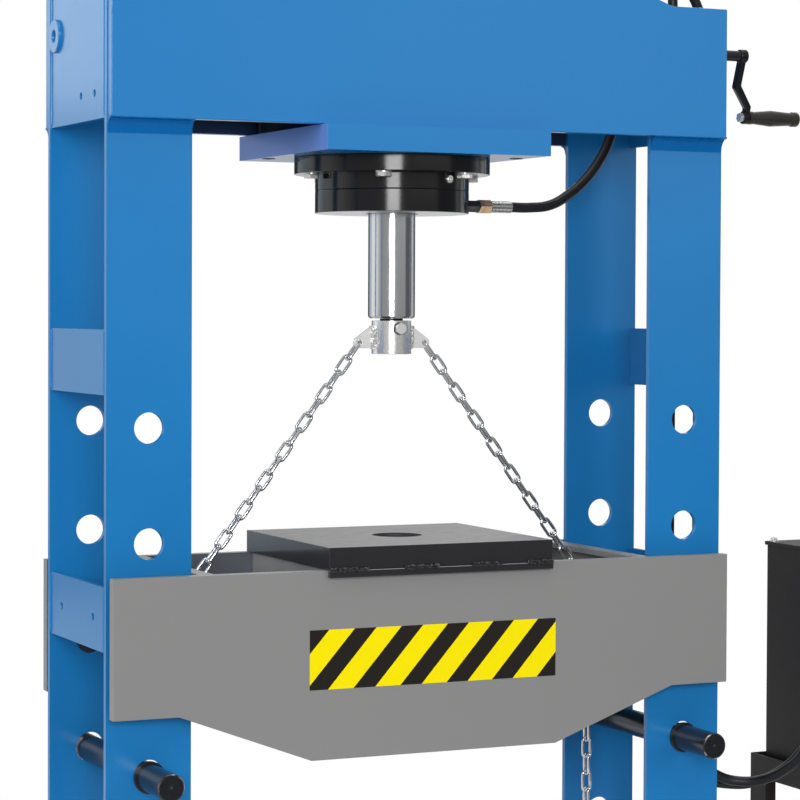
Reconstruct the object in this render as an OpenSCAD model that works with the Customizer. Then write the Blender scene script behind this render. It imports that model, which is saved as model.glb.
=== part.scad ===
// Hydraulic workshop press with a cylinder that travels along the head beam,
// a bed that hangs on two chains from the ram, and a power unit beside it.
// Millimetres, +Z up, floor at z = 0, ram axis on the Z axis, front towards -Y.

/* [Uprights] */
// Clear width between the left and right uprights
clear_w = 940; // [700:10:1200]
// Width of one upright plate
upright_w = 160; // [120:5:220]
// Thickness of one upright plate
upright_t = 12; // [8:1:20]
// Height of one batten between the plates
batten_h = 116; // [60:2:160]
// Thickness of a batten
batten_t = 10; // [6:1:16]
// Distance of the two small batten holes from the middle
batten_hole_y = 92; // [40:2:120]
// Diameter of the small holes in the battens and the beam's end plates
small_hole_d = 14; // [6:1:20]

/* [Pin holes] */
// Diameter of the pin holes
hole_d = 56; // [40:1:70]
// Vertical pitch of the pin holes
hole_pitch = 206; // [180:2:240]
// Number of rows of pin holes
hole_rows = 5; // [4:1:6]
// Height of the top row over the floor
hole_top_z = 1200; // [1100:10:1300]
// Row, counted from the top, that holds the pins
pin_row = 4; // [3:1:4]
// Diameter of a bed pin
pin_d = 50; // [36:1:54]
// Length of a bed pin
pin_len = 584; // [500:4:700]
// Diameter of the locating ring on a pin
pin_ring_d = 58; // [57:1:80]

/* [Beam and bed plates] */
// Thickness of a beam or bed plate
plate_t = 22; // [14:1:32]
// Height of the plates at their ends
plate_end_h = 250; // [200:5:300]
// Height of the plates in the middle
plate_mid_h = 345; // [310:5:420]
// Length of the straight middle edge
plate_mid_w = 500; // [400:10:600]
// Length of the straight edge at each end
plate_end_w = 123; // [80:1:160]
// Height of the beam's underside over the floor
beam_z = 1748; // [1700:2:1850]
// Leg of the fillet welds under the beam
weld_leg = 22; // [12:1:22]
// Thickness of the beam's end plates
end_t = 12; // [8:1:20]

/* [Feet] */
// Width of a foot plate
foot_w = 200; // [180:5:260]
// Thickness of a foot plate
foot_t = 20; // [12:1:30]
// Distance between the front and rear anchor holes
anchor_pitch = 660; // [560:10:720]
// Distance of the anchor holes from the ends of a foot
anchor_edge = 50; // [35:1:100]
// Diameter of the anchor holes
anchor_d = 22; // [14:1:28]
// Height of the foot gussets
gusset_h = 170; // [100:5:240]

/* [Carriage] */
// Width of the carriage plate
carriage_w = 456; // [420:4:520]
// Depth of the carriage plate
carriage_d = 438; // [420:2:480]
// Thickness of the carriage plate
carriage_t = 47; // [30:1:60]
// Travel of the carriage to each side
carriage_travel = 100; // [60:10:140]
// Width of a hanger rail inside the beam
rail_w = 14; // [10:1:18]
// Height of a hanger rail
rail_h = 25; // [16:1:40]
// Height of the rails over the beam's underside
rail_rise = 40; // [30:1:60]
// Width of a hanger
hanger_w = 50; // [30:2:60]
// Thickness of a hanger
hanger_t = 10; // [8:1:14]

/* [Cylinder] */
// Width of the flange around the cylinder foot
flange_rim = 40; // [34:1:50]
// Thickness of the flange
flange_t = 32; // [24:1:40]
// Diameter of the cylinder foot and gland
body_d = 295; // [260:1:300]
// Height of the cylinder foot under the flange
body_h = 31; // [24:1:44]
// Height of the gland
gland_h = 43; // [36:1:60]
// Outer diameter of the barrel inside the beam
barrel_d = 220; // [200:1:224]
// Bore of the barrel
bore_d = 176; // [140:1:180]
// Thickness of the barrel's cap
cap_t = 35; // [24:1:45]
// Number of flange bolts
flange_bolts_n = 6; // [4:1:8]
// Thread diameter of the flange bolts
flange_bolt_d = 16; // [12:1:20]

/* [Ram and collar] */
// Diameter of the ram
ram_d = 90; // [70:1:110]
// Length of the ram that shows under the gland
ram_out = 200; // [190:1:260]
// Travel of the ram upwards from the drawn place
stroke_up = 190; // [120:5:190]
// Thickness of the piston
piston_t = 60; // [40:2:80]
// Diameter of the ram's spigot
spigot_d = 44; // [30:1:50]
// Gap between ram and collar
neck_h = 4; // [2:0.5:8]
// Diameter of the chain collar
collar_d = 76; // [66:1:90]
// Height of the chain collar
collar_h = 64; // [50:1:80]
// Distance of the chain eyes from the ram axis
ear_x = 68; // [60:1:80]
// Thickness of the ears
ear_t = 8; // [5:1:9]

/* [Chains] */
// Diameter of the chain wire
wire_d = 6; // [4:0.5:6]
// Inner length of a link
link_pitch = 34; // [30:1:40]
// Inner width of a link
link_in_w = 11; // [10:0.5:14]
// Links in each free tail
tail_links = 15; // [8:1:18]

/* [Bed] */
// Height of the bed's top over the floor as it hangs
bed_z = 937.5; // [920:0.5:960]
// Gap between a bed plate and the uprights
bed_gap = 13.5; // [8:0.5:20]
// Play between the bed's ends and the uprights
bed_play = 8; // [4:1:15]
// Thickness of the bed's end webs
web_t = 12; // [8:1:20]
// Width of the bed's end flanges
web_flange_w = 30; // [20:1:36]
// Depth of the chain hooks under the bed's top
hook_drop = 78; // [60:1:120]
// Distance of the bed's ribs from the middle
rib_x = 205; // [150:5:220]
// Width of the platen
platen_w = 458; // [430:2:560]
// Thickness of the platen
platen_t = 42; // [30:1:70]
// How far the loose platen lies to the right of the ram axis
platen_shift = 9; // [-12:1:12]
// Bore of the platen
platen_bore = 95; // [60:1:140]
// Thickness of the platen's retaining strips
strip_t = 11; // [6:0.5:16]
// Height of the platen's retaining strips
strip_h = 13; // [12:1:36]
// How far the front strip stands out of the platen's face
strip_proud = 4; // [0:0.5:6]

/* [Lead screw and crank] */
// Gap between the screw and the barrel
screw_gap = 6; // [5:0.5:12]
// Gap between a screw boss and the upright plates
boss_gap = 2; // [1:0.5:6]
// Height of the screw over the beam's underside
screw_rise = 168; // [150:1:190]
// Diameter of the screw
screw_d = 22; // [16:1:24]
// Outer diameter of the screw bosses
boss_d = 62; // [44:1:66]
// How far a boss stands out of its end plate
boss_out = 6; // [6:1:24]
// Diameter of the crank shaft
crank_shaft_d = 21; // [20:1:32]
// Length of the crank shaft outside the boss
crank_shaft_len = 65; // [40:1:80]
// Throw of the crank
crank_r = 125; // [90:1:160]
// How far the arm's end stands out from its root
crank_offset = 34; // [20:1:50]
// Angle of the crank as drawn, from straight down
crank_angle = 20; // [0:1:90]
// Length of the crank grip
grip_len = 116; // [80:1:130]
// Largest diameter of the crank grip
grip_d = 32; // [28:1:40]

/* [Power unit] */
// Distance of the tray's left side from the ram axis
unit_x = 893; // [840:1:1000]
// Distance of the tray's rear side behind the ram axis
unit_y = 120; // [60:1:200]
// Width of the tray
tray_w = 420; // [400:5:520]
// Depth of the tray from front to rear
tray_d = 500; // [480:5:600]
// Height of the tray's rim over the floor
tray_rim_z = 480; // [420:5:560]
// Height of the tray's rim over its floor
tray_h = 44; // [30:1:60]
// Thickness of the tray's sheet
tray_t = 4; // [3:1:6]
// Width of the legs
leg_w = 60; // [40:1:80]
// Thickness of the legs
leg_t = 6; // [4:1:8]
// Space between tank and tray wall
tank_inset = 23; // [15:1:30]
// Height of the tank without its lid
tank_h = 484; // [380:4:560]
// Thickness of the tank's sheet
tank_t = 5; // [3:1:8]
// Thickness of the tank's lid
lid_t = 8; // [5:1:12]
// Diameter of the motor's body
motor_d = 170; // [140:5:190]
// Height of the motor's body
motor_h = 220; // [160:5:280]
// Number of cooling fins on the motor
fins_n = 24; // [12:2:30]
// Length of the valve lever
lever_len = 190; // [120:5:240]

/* [Hoses] */
// Outer diameter of the hoses
hose_d = 20; // [14:0.5:20]

/* [Hidden] */

$fn = 64;
blue = [0.17, 0.47, 0.75];
grey = [0.52, 0.52, 0.52];
black = [0.08, 0.08, 0.09];
steel = [0.72, 0.73, 0.74];
brass = [0.72, 0.55, 0.25];

// Clearances
fit = 0.2;
run = 0.5;

// Frame
inner_x = clear_w / 2;
outer_x = inner_x + upright_w;
mid_x = inner_x + upright_w / 2;
screw_y = (barrel_d + screw_d) / 2 + screw_gap;
inner_y = screw_y + boss_d / 2 + boss_gap;
outer_y = inner_y + upright_t;
foot_len = anchor_pitch + 2 * anchor_edge;
plate_len = 2 * outer_x - 4;
upright_top = beam_z + plate_end_h;
batten_zs = [foot_t + 60, hole_top_z - 1.65 * hole_pitch - batten_h / 2,
    hole_top_z + 0.565 * hole_pitch - batten_h / 2];

// Pins lie on the lower side of their holes
pin_hole_z = hole_top_z - (pin_row - 1) * hole_pitch;
pin_z = pin_hole_z - (hole_d - pin_d) / 2;
pin_chamfer = 0.04 * pin_d;
dimple_d = 0.18 * pin_d;

// Carriage and cylinder
carriage_top = beam_z - run;
carriage_bottom = carriage_top - carriage_t;
flange_bottom = carriage_bottom - flange_t;
body_bottom = flange_bottom - body_h;
gland_bottom = body_bottom - gland_h;
gland_spigot_h = 15;
rail_z = beam_z + rail_rise;
rail_top = rail_z + rail_h;
hanger_x = carriage_w / 2 - 13 - hanger_w / 2;
flange_d = body_d + 2 * flange_rim;
bolt_circle = (body_d + flange_rim) / 2;
bolt_grip = 28;
bolt_head_h = 10;
wiper_h = 8;
wiper_wall = 6;

// Ram
ram_end = gland_bottom - ram_out;
collar_top = ram_end - neck_h;
collar_bottom = collar_top - collar_h;
spigot_z = collar_bottom + 14;
set_bolt_d = 12;
set_bolt_z = collar_top - 15;
set_bolt_af = 19;
set_bolt_head = 8;
ring_h = 5;
ring_depth = 4.5;
bed_bottom = bed_z - plate_end_h;
stroke_down = bed_bottom - pin_z - pin_d / 2 - run;
piston_z = body_bottom + gland_spigot_h + stroke_down + 5;
piston_top = piston_z + piston_t;
piston_bore = 60;
barrel_top = piston_top + stroke_up + 5;
cap_top = barrel_top + cap_t;

// Chains run from the eyes of the collar to the hooks in the bed
link_slack = 0.3;
link_step = link_pitch - link_slack;
link_half = (link_pitch + wire_d) / 2;
bend_r = (link_in_w + wire_d) / 2;
ear_z = collar_bottom + 22;
bed_inner_y = outer_y + bed_gap;
bed_outer_y = bed_inner_y + plate_t;
web_x = inner_x - bed_play - web_t;
hook_aim = [web_x - 15 - ear_x, bed_z - hook_drop - ear_z];
chain_dir = hook_aim / norm(hook_aim);
chain_tilt = atan2(chain_dir[0], -chain_dir[1]);
chain_links = 2 * floor(norm(hook_aim) / (2 * link_step));
hook_at = [ear_x, ear_z] + chain_dir * ((chain_links - 1) * link_step + 2 * link_half - wire_d - link_slack);
hook_t = 10;
hook_z = hook_at[1] + wire_d / 2 + link_slack;

// Platen
strip_front = bed_outer_y + run + strip_t;
platen_front = strip_front - strip_proud;
platen_rear = bed_inner_y + 10;

// Lead screw and crank
screw_z = beam_z + screw_rise;
boss_face = plate_len / 2 + boss_out;
nut_x = carriage_w / 2 - 88;
nut_len = 40;
nut_d = 38;
bracket_t = 15;
bracket_half = outer_y - rail_w - screw_y - 2 * run;
boss_len = 36;
thrust_t = 14;
screw_tip = nut_x - nut_len / 2 - carriage_travel - 20;
crank_root = boss_face + run + crank_shaft_len;
arm_w = 16;
arm_t = 10;
arm_end_d = 26;
arm_knee = crank_r / 2;
eye_proud = 1.5;
grip_x = crank_offset + arm_t + eye_proud + run;
crank_bolt_d = 10;
bolt_head_af = 17;
bolt_head_t = 8;
crank_nut_d = crank_bolt_d + 6;
grip_recess = 10;

// Power unit
tray_floor = tray_rim_z - tray_h;
tank_x = unit_x + tank_inset;
tank_y = unit_y - tank_inset;
tank_w = tray_w - 2 * tank_inset;
tank_d = tray_d - 2 * tank_inset;
lid_z = tray_floor + tank_h;
lid_top = lid_z + lid_t;
fin = 12;
fan_h = 46;
terminal = [90, 58, 90];
terminal_z = 60;
motor_at = [tank_x + tank_w * 0.6, tank_y - tank_d * 0.42];
filler_at = [tank_x + tank_w * 0.25, tank_y - tank_d * 0.18];
valve_at = [tank_x + 60, tank_y - tank_d + 70];
valve_size = [84, 90, 80];
port_y = 24;
port_z = lid_top + 40;
port_len = 56;
lever_z = lid_top + valve_size[2] + 16;

// Hose ends on the carriage
fitting_z = gland_bottom + 18;
fitting_x = body_d / 2;
port_d = 18;
port_depth = 12;
port_neck = 2;
adapter_af = 22;
adapter_len = 34;
union_af = 27;
union_len = 26;
ferrule_d = 24;
ferrule_len = 46;
elbow_half = 15;
elbow_rise = 40;
elbow_union_len = 45;
elbow_ferrule_len = 60;
cap_port_d = 16;
lower_end = [fitting_x + port_neck + adapter_len + union_len + ferrule_len, 0, fitting_z];
upper_end = [elbow_half + elbow_union_len + elbow_ferrule_len, 0, cap_top + elbow_rise];
lower_port = [valve_at[0] - valve_size[0] / 2 - port_len, valve_at[1] + port_y, port_z];
upper_port = [valve_at[0] - valve_size[0] / 2 - port_len, valve_at[1] - port_y, port_z];

// Route points of the hoses, chosen by hand between their fixed ends
hose_split_z = 1880;
lower_split = [646, -64, hose_split_z];
upper_split = [598, -38, hose_split_z];
lower_loop_route = [
    lower_end, [295, 0, fitting_z], [345, 2, 1619], [390, 6, 1642], [428, 9, 1672], [460, 12, 1710],
    [484, 15, 1752], [500, 17, 1804], [506, 18, 1870], [507, 18, 1950], [509, 15, 2020],
    [516, 4, 2058], [533, -20, 2084], [558, -46, 2092], [587, -64, 2078], [612, -72, 2050],
    [634, -73, 2014], [645, -69, 1985], [646, -64, 1940],
    lower_split
];
upper_loop_route = [
    upper_end, [175, 0, cap_top + elbow_rise], [240, -2, cap_top + 54], [310, -4, 2118], [380, -8, 2144],
    [450, -14, 2156], [516, -22, 2150], [566, -30, 2118], [592, -36, 2066], [598, -38, 2000],
    upper_split
];
lower_run_route = [
    lower_split, [646, -64, 700], [646, -64, 600], [651, -64, 540], [668, -64, 499], [698, -66, 475],
    [740, -82, 463], [777, -116, 471], [800, -158, 496], [812, -200, 534], [815, -232, 600], [812, -252, 690],
    [806, lower_port[1], 790], [801, lower_port[1], port_z - 80], [811, lower_port[1], port_z - 38],
    [834, lower_port[1], port_z - 12], lower_port - [20, 0, 0], lower_port
];
upper_run_route = [
    upper_split, [598, -38, 690], [600, -38, 610], [611, -38, 542], [638, -38, 494], [680, -38, 466],
    [730, -46, 453], [776, -68, 455], [814, -107, 480], [838, -160, 532], [847, -218, 606], [840, -273, 700],
    [819, upper_port[1], 796], [802, upper_port[1], port_z - 80], [811, upper_port[1], port_z - 38],
    [834, upper_port[1], port_z - 12], upper_port - [20, 0, 0], upper_port
];

// A box from its low and high corners along each axis
module box(x, y, z) {
    translate([x[0], y[0], z[0]]) cube([x[1] - x[0], y[1] - y[0], z[1] - z[0]]);
}

// Children as they are on the right side, or mirrored to the left
module on_side(side) {
    mirror([side < 0 ? 1 : 0, 0, 0]) children();
}

// A cylinder along X that starts at a point
module rod_x(at, d, len) {
    translate(at) rotate([0, 90, 0]) cylinder(d = d, h = len);
}

// A cylinder along Y that starts at a point
module rod_y(at, d, len) {
    translate(at) rotate([-90, 0, 0]) cylinder(d = d, h = len);
}

// A hexagon bar along Z with a width over flats
module hex_bar(flats, h) {
    cylinder(d = flats / cos(30), h = h, $fn = 6);
}

// A tube along route points: rings of points joined into one solid
hose_sides = 10;
function unit(v) = v / norm(v);
function heading(p, i) = unit(p[min(i + 1, len(p) - 1)] - p[max(i - 1, 0)]);
function ring(p, i, r) =
    let (t = heading(p, i), a = unit(cross(t, [0, 1, 0])), b = cross(t, a))
    [for (k = [0 : hose_sides - 1]) p[i] + r * (a * cos(360 * k / hose_sides) + b * sin(360 * k / hose_sides))];
function tube_points(p, r) = [for (i = [0 : len(p) - 1]) each ring(p, i, r)];
function tube_faces(n) = [
    [for (k = [0 : hose_sides - 1]) k],
    for (i = [0 : n - 2], k = [0 : hose_sides - 1])
        each let (a = i * hose_sides, b = a + hose_sides, m = (k + 1) % hose_sides)
        [[a + k, b + k, b + m], [a + k, b + m, a + m]],
    [for (k = [hose_sides - 1 : -1 : 0]) (n - 1) * hose_sides + k]
];
module hose(route) {
    color(black) polyhedron(tube_points(route, hose_d / 2), tube_faces(len(route)));
}

// Upright plate with its rows of pin holes
module upright(side, face) {
    y = face > 0 ? [inner_y, outer_y] : [-outer_y, -inner_y];
    color(blue) on_side(side) difference() {
        box([inner_x, outer_x], y, [foot_t, upright_top]);
        for (row = [0 : hole_rows - 1])
            rod_y([mid_x, y[0] - 1, hole_top_z - row * hole_pitch], hole_d, upright_t + 2);
    }
}
module upright_front_left() { upright(-1, -1); }
module upright_front_right() { upright(1, -1); }
module upright_rear_left() { upright(-1, 1); }
module upright_rear_right() { upright(1, 1); }

// Battens tie the front and rear plates at the outer edge
module battens(side) {
    color(blue) on_side(side) for (i = [0 : len(batten_zs) - 1])
        difference() {
            box([outer_x - batten_t - 2, outer_x - 2], [-inner_y, inner_y],
                [batten_zs[i], batten_zs[i] + batten_h]);
            if (i == 1)
                for (y = [-1, 1])
                    rod_x([outer_x - batten_t - 3, y * batten_hole_y, batten_zs[i] + batten_h / 2],
                        small_hole_d, batten_t + 2);
        }
}
module battens_left() { battens(-1); }
module battens_right() { battens(1); }

// Plate with a straight edge at z = 0 and a raised middle
module bent_plate() {
    l = plate_len / 2;
    s = l - plate_end_w;
    m = plate_mid_w / 2;
    rotate([90, 0, 0]) linear_extrude(plate_t) polygon([
        [-l, 0], [l, 0], [l, plate_end_h], [s, plate_end_h], [m, plate_mid_h],
        [-m, plate_mid_h], [-s, plate_end_h], [-l, plate_end_h]
    ]);
}
module beam_front_plate() {
    color(blue) translate([0, -outer_y, beam_z]) bent_plate();
}
module beam_rear_plate() {
    color(blue) translate([0, outer_y + plate_t, beam_z]) bent_plate();
}

// End plates close the beam between the uprights and carry the screw bosses.
// Both are one pattern, turned half round, so each has its boss hole on another side.
module beam_end(side) {
    color(blue) rotate([0, 0, side < 0 ? 180 : 0]) difference() {
        box([plate_len / 2 - end_t, plate_len / 2], [-inner_y, inner_y], [beam_z, upright_top]);
        rod_x([plate_len / 2 - end_t - 1, -screw_y, screw_z], boss_d + 2 * fit, end_t + 2);
        for (y = [20, 98])
            rod_x([plate_len / 2 - end_t - 1, y, beam_z + 47], small_hole_d, end_t + 2);
    }
}
module beam_end_left() { beam_end(-1); }
module beam_end_right() { beam_end(1); }

module screw_boss(side) {
    color(blue) rotate([0, 0, side < 0 ? 180 : 0]) difference() {
        rod_x([boss_face - boss_len, -screw_y, screw_z], boss_d, boss_len);
        rod_x([boss_face - boss_len - 1, -screw_y, screw_z], screw_d + 2 * run, boss_len + 2);
    }
}
module screw_boss_left() { screw_boss(-1); }
module screw_boss_right() { screw_boss(1); }

// Fillet welds under the beam plates where they meet the uprights
module beam_welds() {
    color(blue) for (side = [-1, 1], face = [-1, 1])
        on_side(side) mirror([0, face > 0 ? 1 : 0, 0])
            translate([inner_x, -outer_y, beam_z]) rotate([90, 0, 90])
                linear_extrude(upright_w - 2) polygon([[0, 0], [-weld_leg, 0], [0, -weld_leg]]);
}

// Foot plate with two anchor holes and a gusset at the front and rear upright plate
module foot(side) {
    color(blue) on_side(side) difference() {
        union() {
            box([mid_x - foot_w / 2, mid_x + foot_w / 2], [-foot_len / 2, foot_len / 2], [0, foot_t]);
            for (face = [0, 1])
                mirror([0, face, 0]) translate([mid_x - upright_t / 2, outer_y, foot_t]) rotate([90, 0, 90])
                    linear_extrude(upright_t)
                        polygon([[0, 0], [anchor_pitch / 2 - outer_y - anchor_d - 8, 0], [0, gusset_h]]);
        }
        for (y = [-1, 1])
            translate([mid_x, y * anchor_pitch / 2, -1]) cylinder(d = anchor_d, h = foot_t + 2);
    }
}
module foot_left() { foot(-1); }
module foot_right() { foot(1); }

module carriage_rails() {
    reach = inner_x - 12;
    color(blue) for (face = [0, 1])
        mirror([0, face, 0]) box([-reach, reach], [outer_y - rail_w, outer_y], [rail_z, rail_top]);
}

// Bed pin with chamfered ends, centre marks and a ring beside the front plate
module pin(side) {
    half = pin_len / 2;
    ring_t = min(8, bed_gap - 4);
    color(steel) translate([side * mid_x, 0, pin_z]) difference() {
        union() {
            rod_y([0, -half + pin_chamfer, 0], pin_d, pin_len - 2 * pin_chamfer);
            rod_y([0, -outer_y - run - ring_t, 0], pin_ring_d, ring_t);
            for (face = [0, 1])
                mirror([0, face, 0]) translate([0, half - pin_chamfer, 0]) rotate([-90, 0, 0])
                    cylinder(d1 = pin_d, d2 = pin_d - 2 * pin_chamfer, h = pin_chamfer);
        }
        for (face = [0, 1])
            mirror([0, face, 0]) translate([0, half - pin_chamfer, 0]) rotate([-90, 0, 0])
                cylinder(d1 = 0, d2 = dimple_d, h = pin_chamfer + 0.01);
    }
}
module pin_left() { pin(-1); }
module pin_right() { pin(1); }

// Carriage plate under the beam
module carriage_plate() {
    color(blue) difference() {
        box([-carriage_w / 2, carriage_w / 2], [-carriage_d / 2, carriage_d / 2],
            [carriage_bottom, carriage_top]);
        translate([0, 0, carriage_bottom - 1]) cylinder(d = barrel_d + 2 * fit, h = carriage_t + 2);
        flange_pattern() translate([0, 0, carriage_bottom - 1])
            cylinder(d = flange_bolt_d + 2 * fit, h = bolt_grip + 3);
    }
}

module flange_pattern() {
    for (i = [0 : flange_bolts_n - 1])
        rotate([0, 0, i * 360 / flange_bolts_n]) translate([bolt_circle, 0, 0]) children();
}

// Hangers hook over the rails inside the beam and carry the carriage
module hangers() {
    y = outer_y - rail_w - 2;
    color(black) for (side = [-1, 1], face = [0, 1])
        on_side(side) mirror([0, face, 0]) {
            box([hanger_x - hanger_w / 2, hanger_x + hanger_w / 2], [y - hanger_t, y],
                [carriage_top, rail_top + run + 12]);
            box([hanger_x - hanger_w / 2, hanger_x + hanger_w / 2], [y, outer_y - 2],
                [rail_top + run, rail_top + run + 12]);
        }
}

// Barrel with its foot and flange in one piece
module cylinder_barrel() {
    color(black) difference() {
        union() {
            translate([0, 0, body_bottom]) cylinder(d = body_d, h = body_h);
            translate([0, 0, flange_bottom]) cylinder(d = flange_d, h = flange_t);
            translate([0, 0, carriage_bottom]) cylinder(d = barrel_d, h = barrel_top - carriage_bottom);
        }
        translate([0, 0, body_bottom - 1]) cylinder(d = bore_d, h = barrel_top - body_bottom + 2);
        flange_pattern() translate([0, 0, flange_bottom - 1])
            cylinder(d = flange_bolt_d + 1, h = flange_t + 2);
    }
}

module cylinder_gland() {
    color(black) difference() {
        union() {
            translate([0, 0, gland_bottom]) cylinder(d = body_d, h = gland_h);
            translate([0, 0, body_bottom]) cylinder(d = bore_d - 2 * fit, h = gland_spigot_h);
        }
        translate([0, 0, gland_bottom - 1]) cylinder(d = ram_d + 2 * run, h = gland_h + gland_spigot_h + 2);
        translate([0, 0, gland_bottom - 1]) cylinder(d = ram_d + 2 * wiper_wall + 2 * fit, h = wiper_h + 1);
        rod_x([fitting_x - port_depth, 0, fitting_z], port_d + 2 * fit, 2 * port_depth);
    }
}

module rod_wiper() {
    color(black) translate([0, 0, gland_bottom]) difference() {
        cylinder(d = ram_d + 2 * wiper_wall, h = wiper_h);
        translate([0, 0, -1]) cylinder(d = ram_d + 2 * run, h = wiper_h + 2);
    }
}

module cylinder_cap() {
    color(black) difference() {
        translate([0, 0, barrel_top]) cylinder(d = barrel_d, h = cap_t);
        translate([0, 0, barrel_top - 1]) cylinder(d = cap_port_d, h = cap_t + 2);
    }
}

module flange_bolts() {
    color(steel) flange_pattern() {
        translate([0, 0, flange_bottom - bolt_head_h]) hex_bar(1.5 * flange_bolt_d, bolt_head_h);
        translate([0, 0, flange_bottom]) cylinder(d = flange_bolt_d, h = flange_t + bolt_grip);
    }
}

// Bracket and nut that the lead screw pulls
module nut_bracket() {
    color(blue) difference() {
        box([nut_x - bracket_t / 2, nut_x + bracket_t / 2], [-screw_y - bracket_half, -screw_y + bracket_half],
            [carriage_top, screw_z + 34]);
        rod_x([nut_x - bracket_t, -screw_y, screw_z], nut_d + 2 * fit, 2 * bracket_t);
    }
}

module drive_nut() {
    color(brass) difference() {
        union() {
            rod_x([nut_x - nut_len / 2, -screw_y, screw_z], nut_d, nut_len);
            rod_x([nut_x + bracket_t / 2, -screw_y, screw_z], nut_d + 20, 8);
        }
        rod_x([nut_x - nut_len, -screw_y, screw_z], screw_d + 2 * run, 2 * nut_len);
    }
}

// Adapter, union nut and ferrule at the gland's port
module lower_fitting() {
    translate([fitting_x, 0, fitting_z]) rotate([0, 90, 0]) {
        color(black) translate([0, 0, -port_depth]) cylinder(d = port_d, h = port_depth + port_neck);
        color(black) translate([0, 0, port_neck]) hex_bar(adapter_af, adapter_len);
        color(brass) translate([0, 0, port_neck + adapter_len]) hex_bar(union_af, union_len);
        color(steel) translate([0, 0, port_neck + adapter_len + union_len])
            cylinder(d = ferrule_d, h = ferrule_len);
    }
}

// Elbow, union nut and ferrule on the cap
module upper_fitting() {
    z = upper_end[2];
    stem_z = cap_top - 2 * port_depth;
    color(black) translate([0, 0, stem_z]) cylinder(d = cap_port_d - 2 * fit, h = z - stem_z);
    color(black) box([-elbow_half, elbow_half], [-elbow_half, elbow_half], [cap_top, z + elbow_half]);
    color(brass) translate([elbow_half, 0, z]) rotate([0, 90, 0]) hex_bar(union_af, elbow_union_len);
    color(steel) rod_x([elbow_half + elbow_union_len, 0, z], ferrule_d, elbow_ferrule_len);
}

// Ram with a chamfered end, a spigot for the collar and a seat for the piston
module ram_rod() {
    chamfer = 4;
    color(steel) {
        translate([0, 0, ram_end]) cylinder(d1 = ram_d - 2 * chamfer, d2 = ram_d, h = chamfer);
        translate([0, 0, ram_end + chamfer]) cylinder(d = ram_d, h = piston_z - ram_end - chamfer);
        translate([0, 0, piston_z]) cylinder(d = piston_bore - 2 * fit, h = piston_t);
        translate([0, 0, spigot_z]) cylinder(d = spigot_d, h = ram_end - spigot_z);
    }
}

module piston() {
    color(steel) translate([0, 0, piston_z]) difference() {
        cylinder(d = bore_d - 2 * run, h = piston_t);
        translate([0, 0, -1]) cylinder(d = piston_bore, h = piston_t + 2);
        for (z = [0.3, 0.62])
            translate([0, 0, piston_t * z]) difference() {
                cylinder(d = bore_d + 2, h = ring_h);
                translate([0, 0, -1]) cylinder(d = bore_d - 2 * ring_depth, h = ring_h + 2);
            }
    }
}

// Collar on the ram's spigot with a welded ear for each chain
module chain_collar() {
    eye_d = wire_d + 2 * (bend_r - sqrt(bend_r * bend_r - ear_t * ear_t / 4)) + 2 * run;
    color(steel) difference() {
        union() {
            translate([0, 0, collar_bottom]) cylinder(d = collar_d, h = collar_h);
            for (side = [-1, 1])
                on_side(side) {
                    translate([0, ear_t / 2, 0]) rotate([90, 0, 0]) linear_extrude(ear_t) polygon([
                        [collar_d / 2 - 6, ear_z - 9], [ear_x, ear_z - 9], [ear_x + 11, ear_z + 4],
                        [ear_x + 4, ear_z + 10], [collar_d / 2 + 2, collar_top - 9],
                        [collar_d / 2 - 6, collar_top - 9]
                    ]);
                    rod_y([ear_x, -ear_t / 2, ear_z], 22, ear_t);
                }
        }
        translate([0, 0, spigot_z - fit]) cylinder(d = spigot_d + 2 * fit, h = collar_h);
        rod_y([0, -collar_d, set_bolt_z], set_bolt_d + 2 * fit, collar_d);
        for (side = [-1, 1])
            rod_y([side * ear_x, -ear_t, ear_z], eye_d, 2 * ear_t);
    }
}

module collar_bolt() {
    color(steel) translate([0, 0, set_bolt_z]) {
        rod_y([0, -collar_d / 2 - 1, 0], set_bolt_d, (collar_d - spigot_d) / 2 + 1);
        translate([0, -collar_d / 2 - 1, 0]) rotate([90, 0, 0]) hex_bar(set_bolt_af, set_bolt_head);
    }
}

// Long link in the XZ plane, standing upright about the origin
module chain_link() {
    straight = link_half - bend_r;
    for (end = [0, 1])
        mirror([0, 0, end]) translate([0, 0, straight]) rotate([90, 0, 0])
            rotate_extrude(angle = 180, $fn = 32) translate([bend_r, 0]) circle(d = wire_d, $fn = 16);
    for (side = [-1, 1])
        translate([side * bend_r, 0, -straight]) cylinder(d = wire_d, h = 2 * straight, $fn = 16);
}

// Chain from the collar's eye to the hook, with every other link turned
module chain(side) {
    color(steel) on_side(side) for (i = [0 : chain_links - 1]) {
        at = [ear_x, ear_z] + chain_dir * (link_half + i * link_step);
        translate([at[0], 0, at[1]]) rotate([0, -chain_tilt, 0]) rotate([0, 0, i % 2 == 0 ? 90 : 0])
            chain_link();
    }
}
module chain_left() { chain(-1); }
module chain_right() { chain(1); }

// Free end of a chain, hanging from the hook
module chain_tail(side) {
    color(steel) on_side(side) for (i = [0 : tail_links - 1])
        translate([hook_at[0], 0, hook_at[1] - link_half - i * link_step])
            rotate([0, 0, i % 2 == 0 ? 90 : 0]) chain_link();
}
module chain_tail_left() { chain_tail(-1); }
module chain_tail_right() { chain_tail(1); }

// Bed plates run outside the uprights with the raised middle below
module bed_front_plate() {
    color(grey) translate([0, -bed_outer_y, bed_z]) rotate([180, 0, 0]) bent_plate();
}
module bed_rear_plate() {
    color(grey) translate([0, bed_inner_y, bed_z]) rotate([180, 0, 0]) bent_plate();
}

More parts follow.
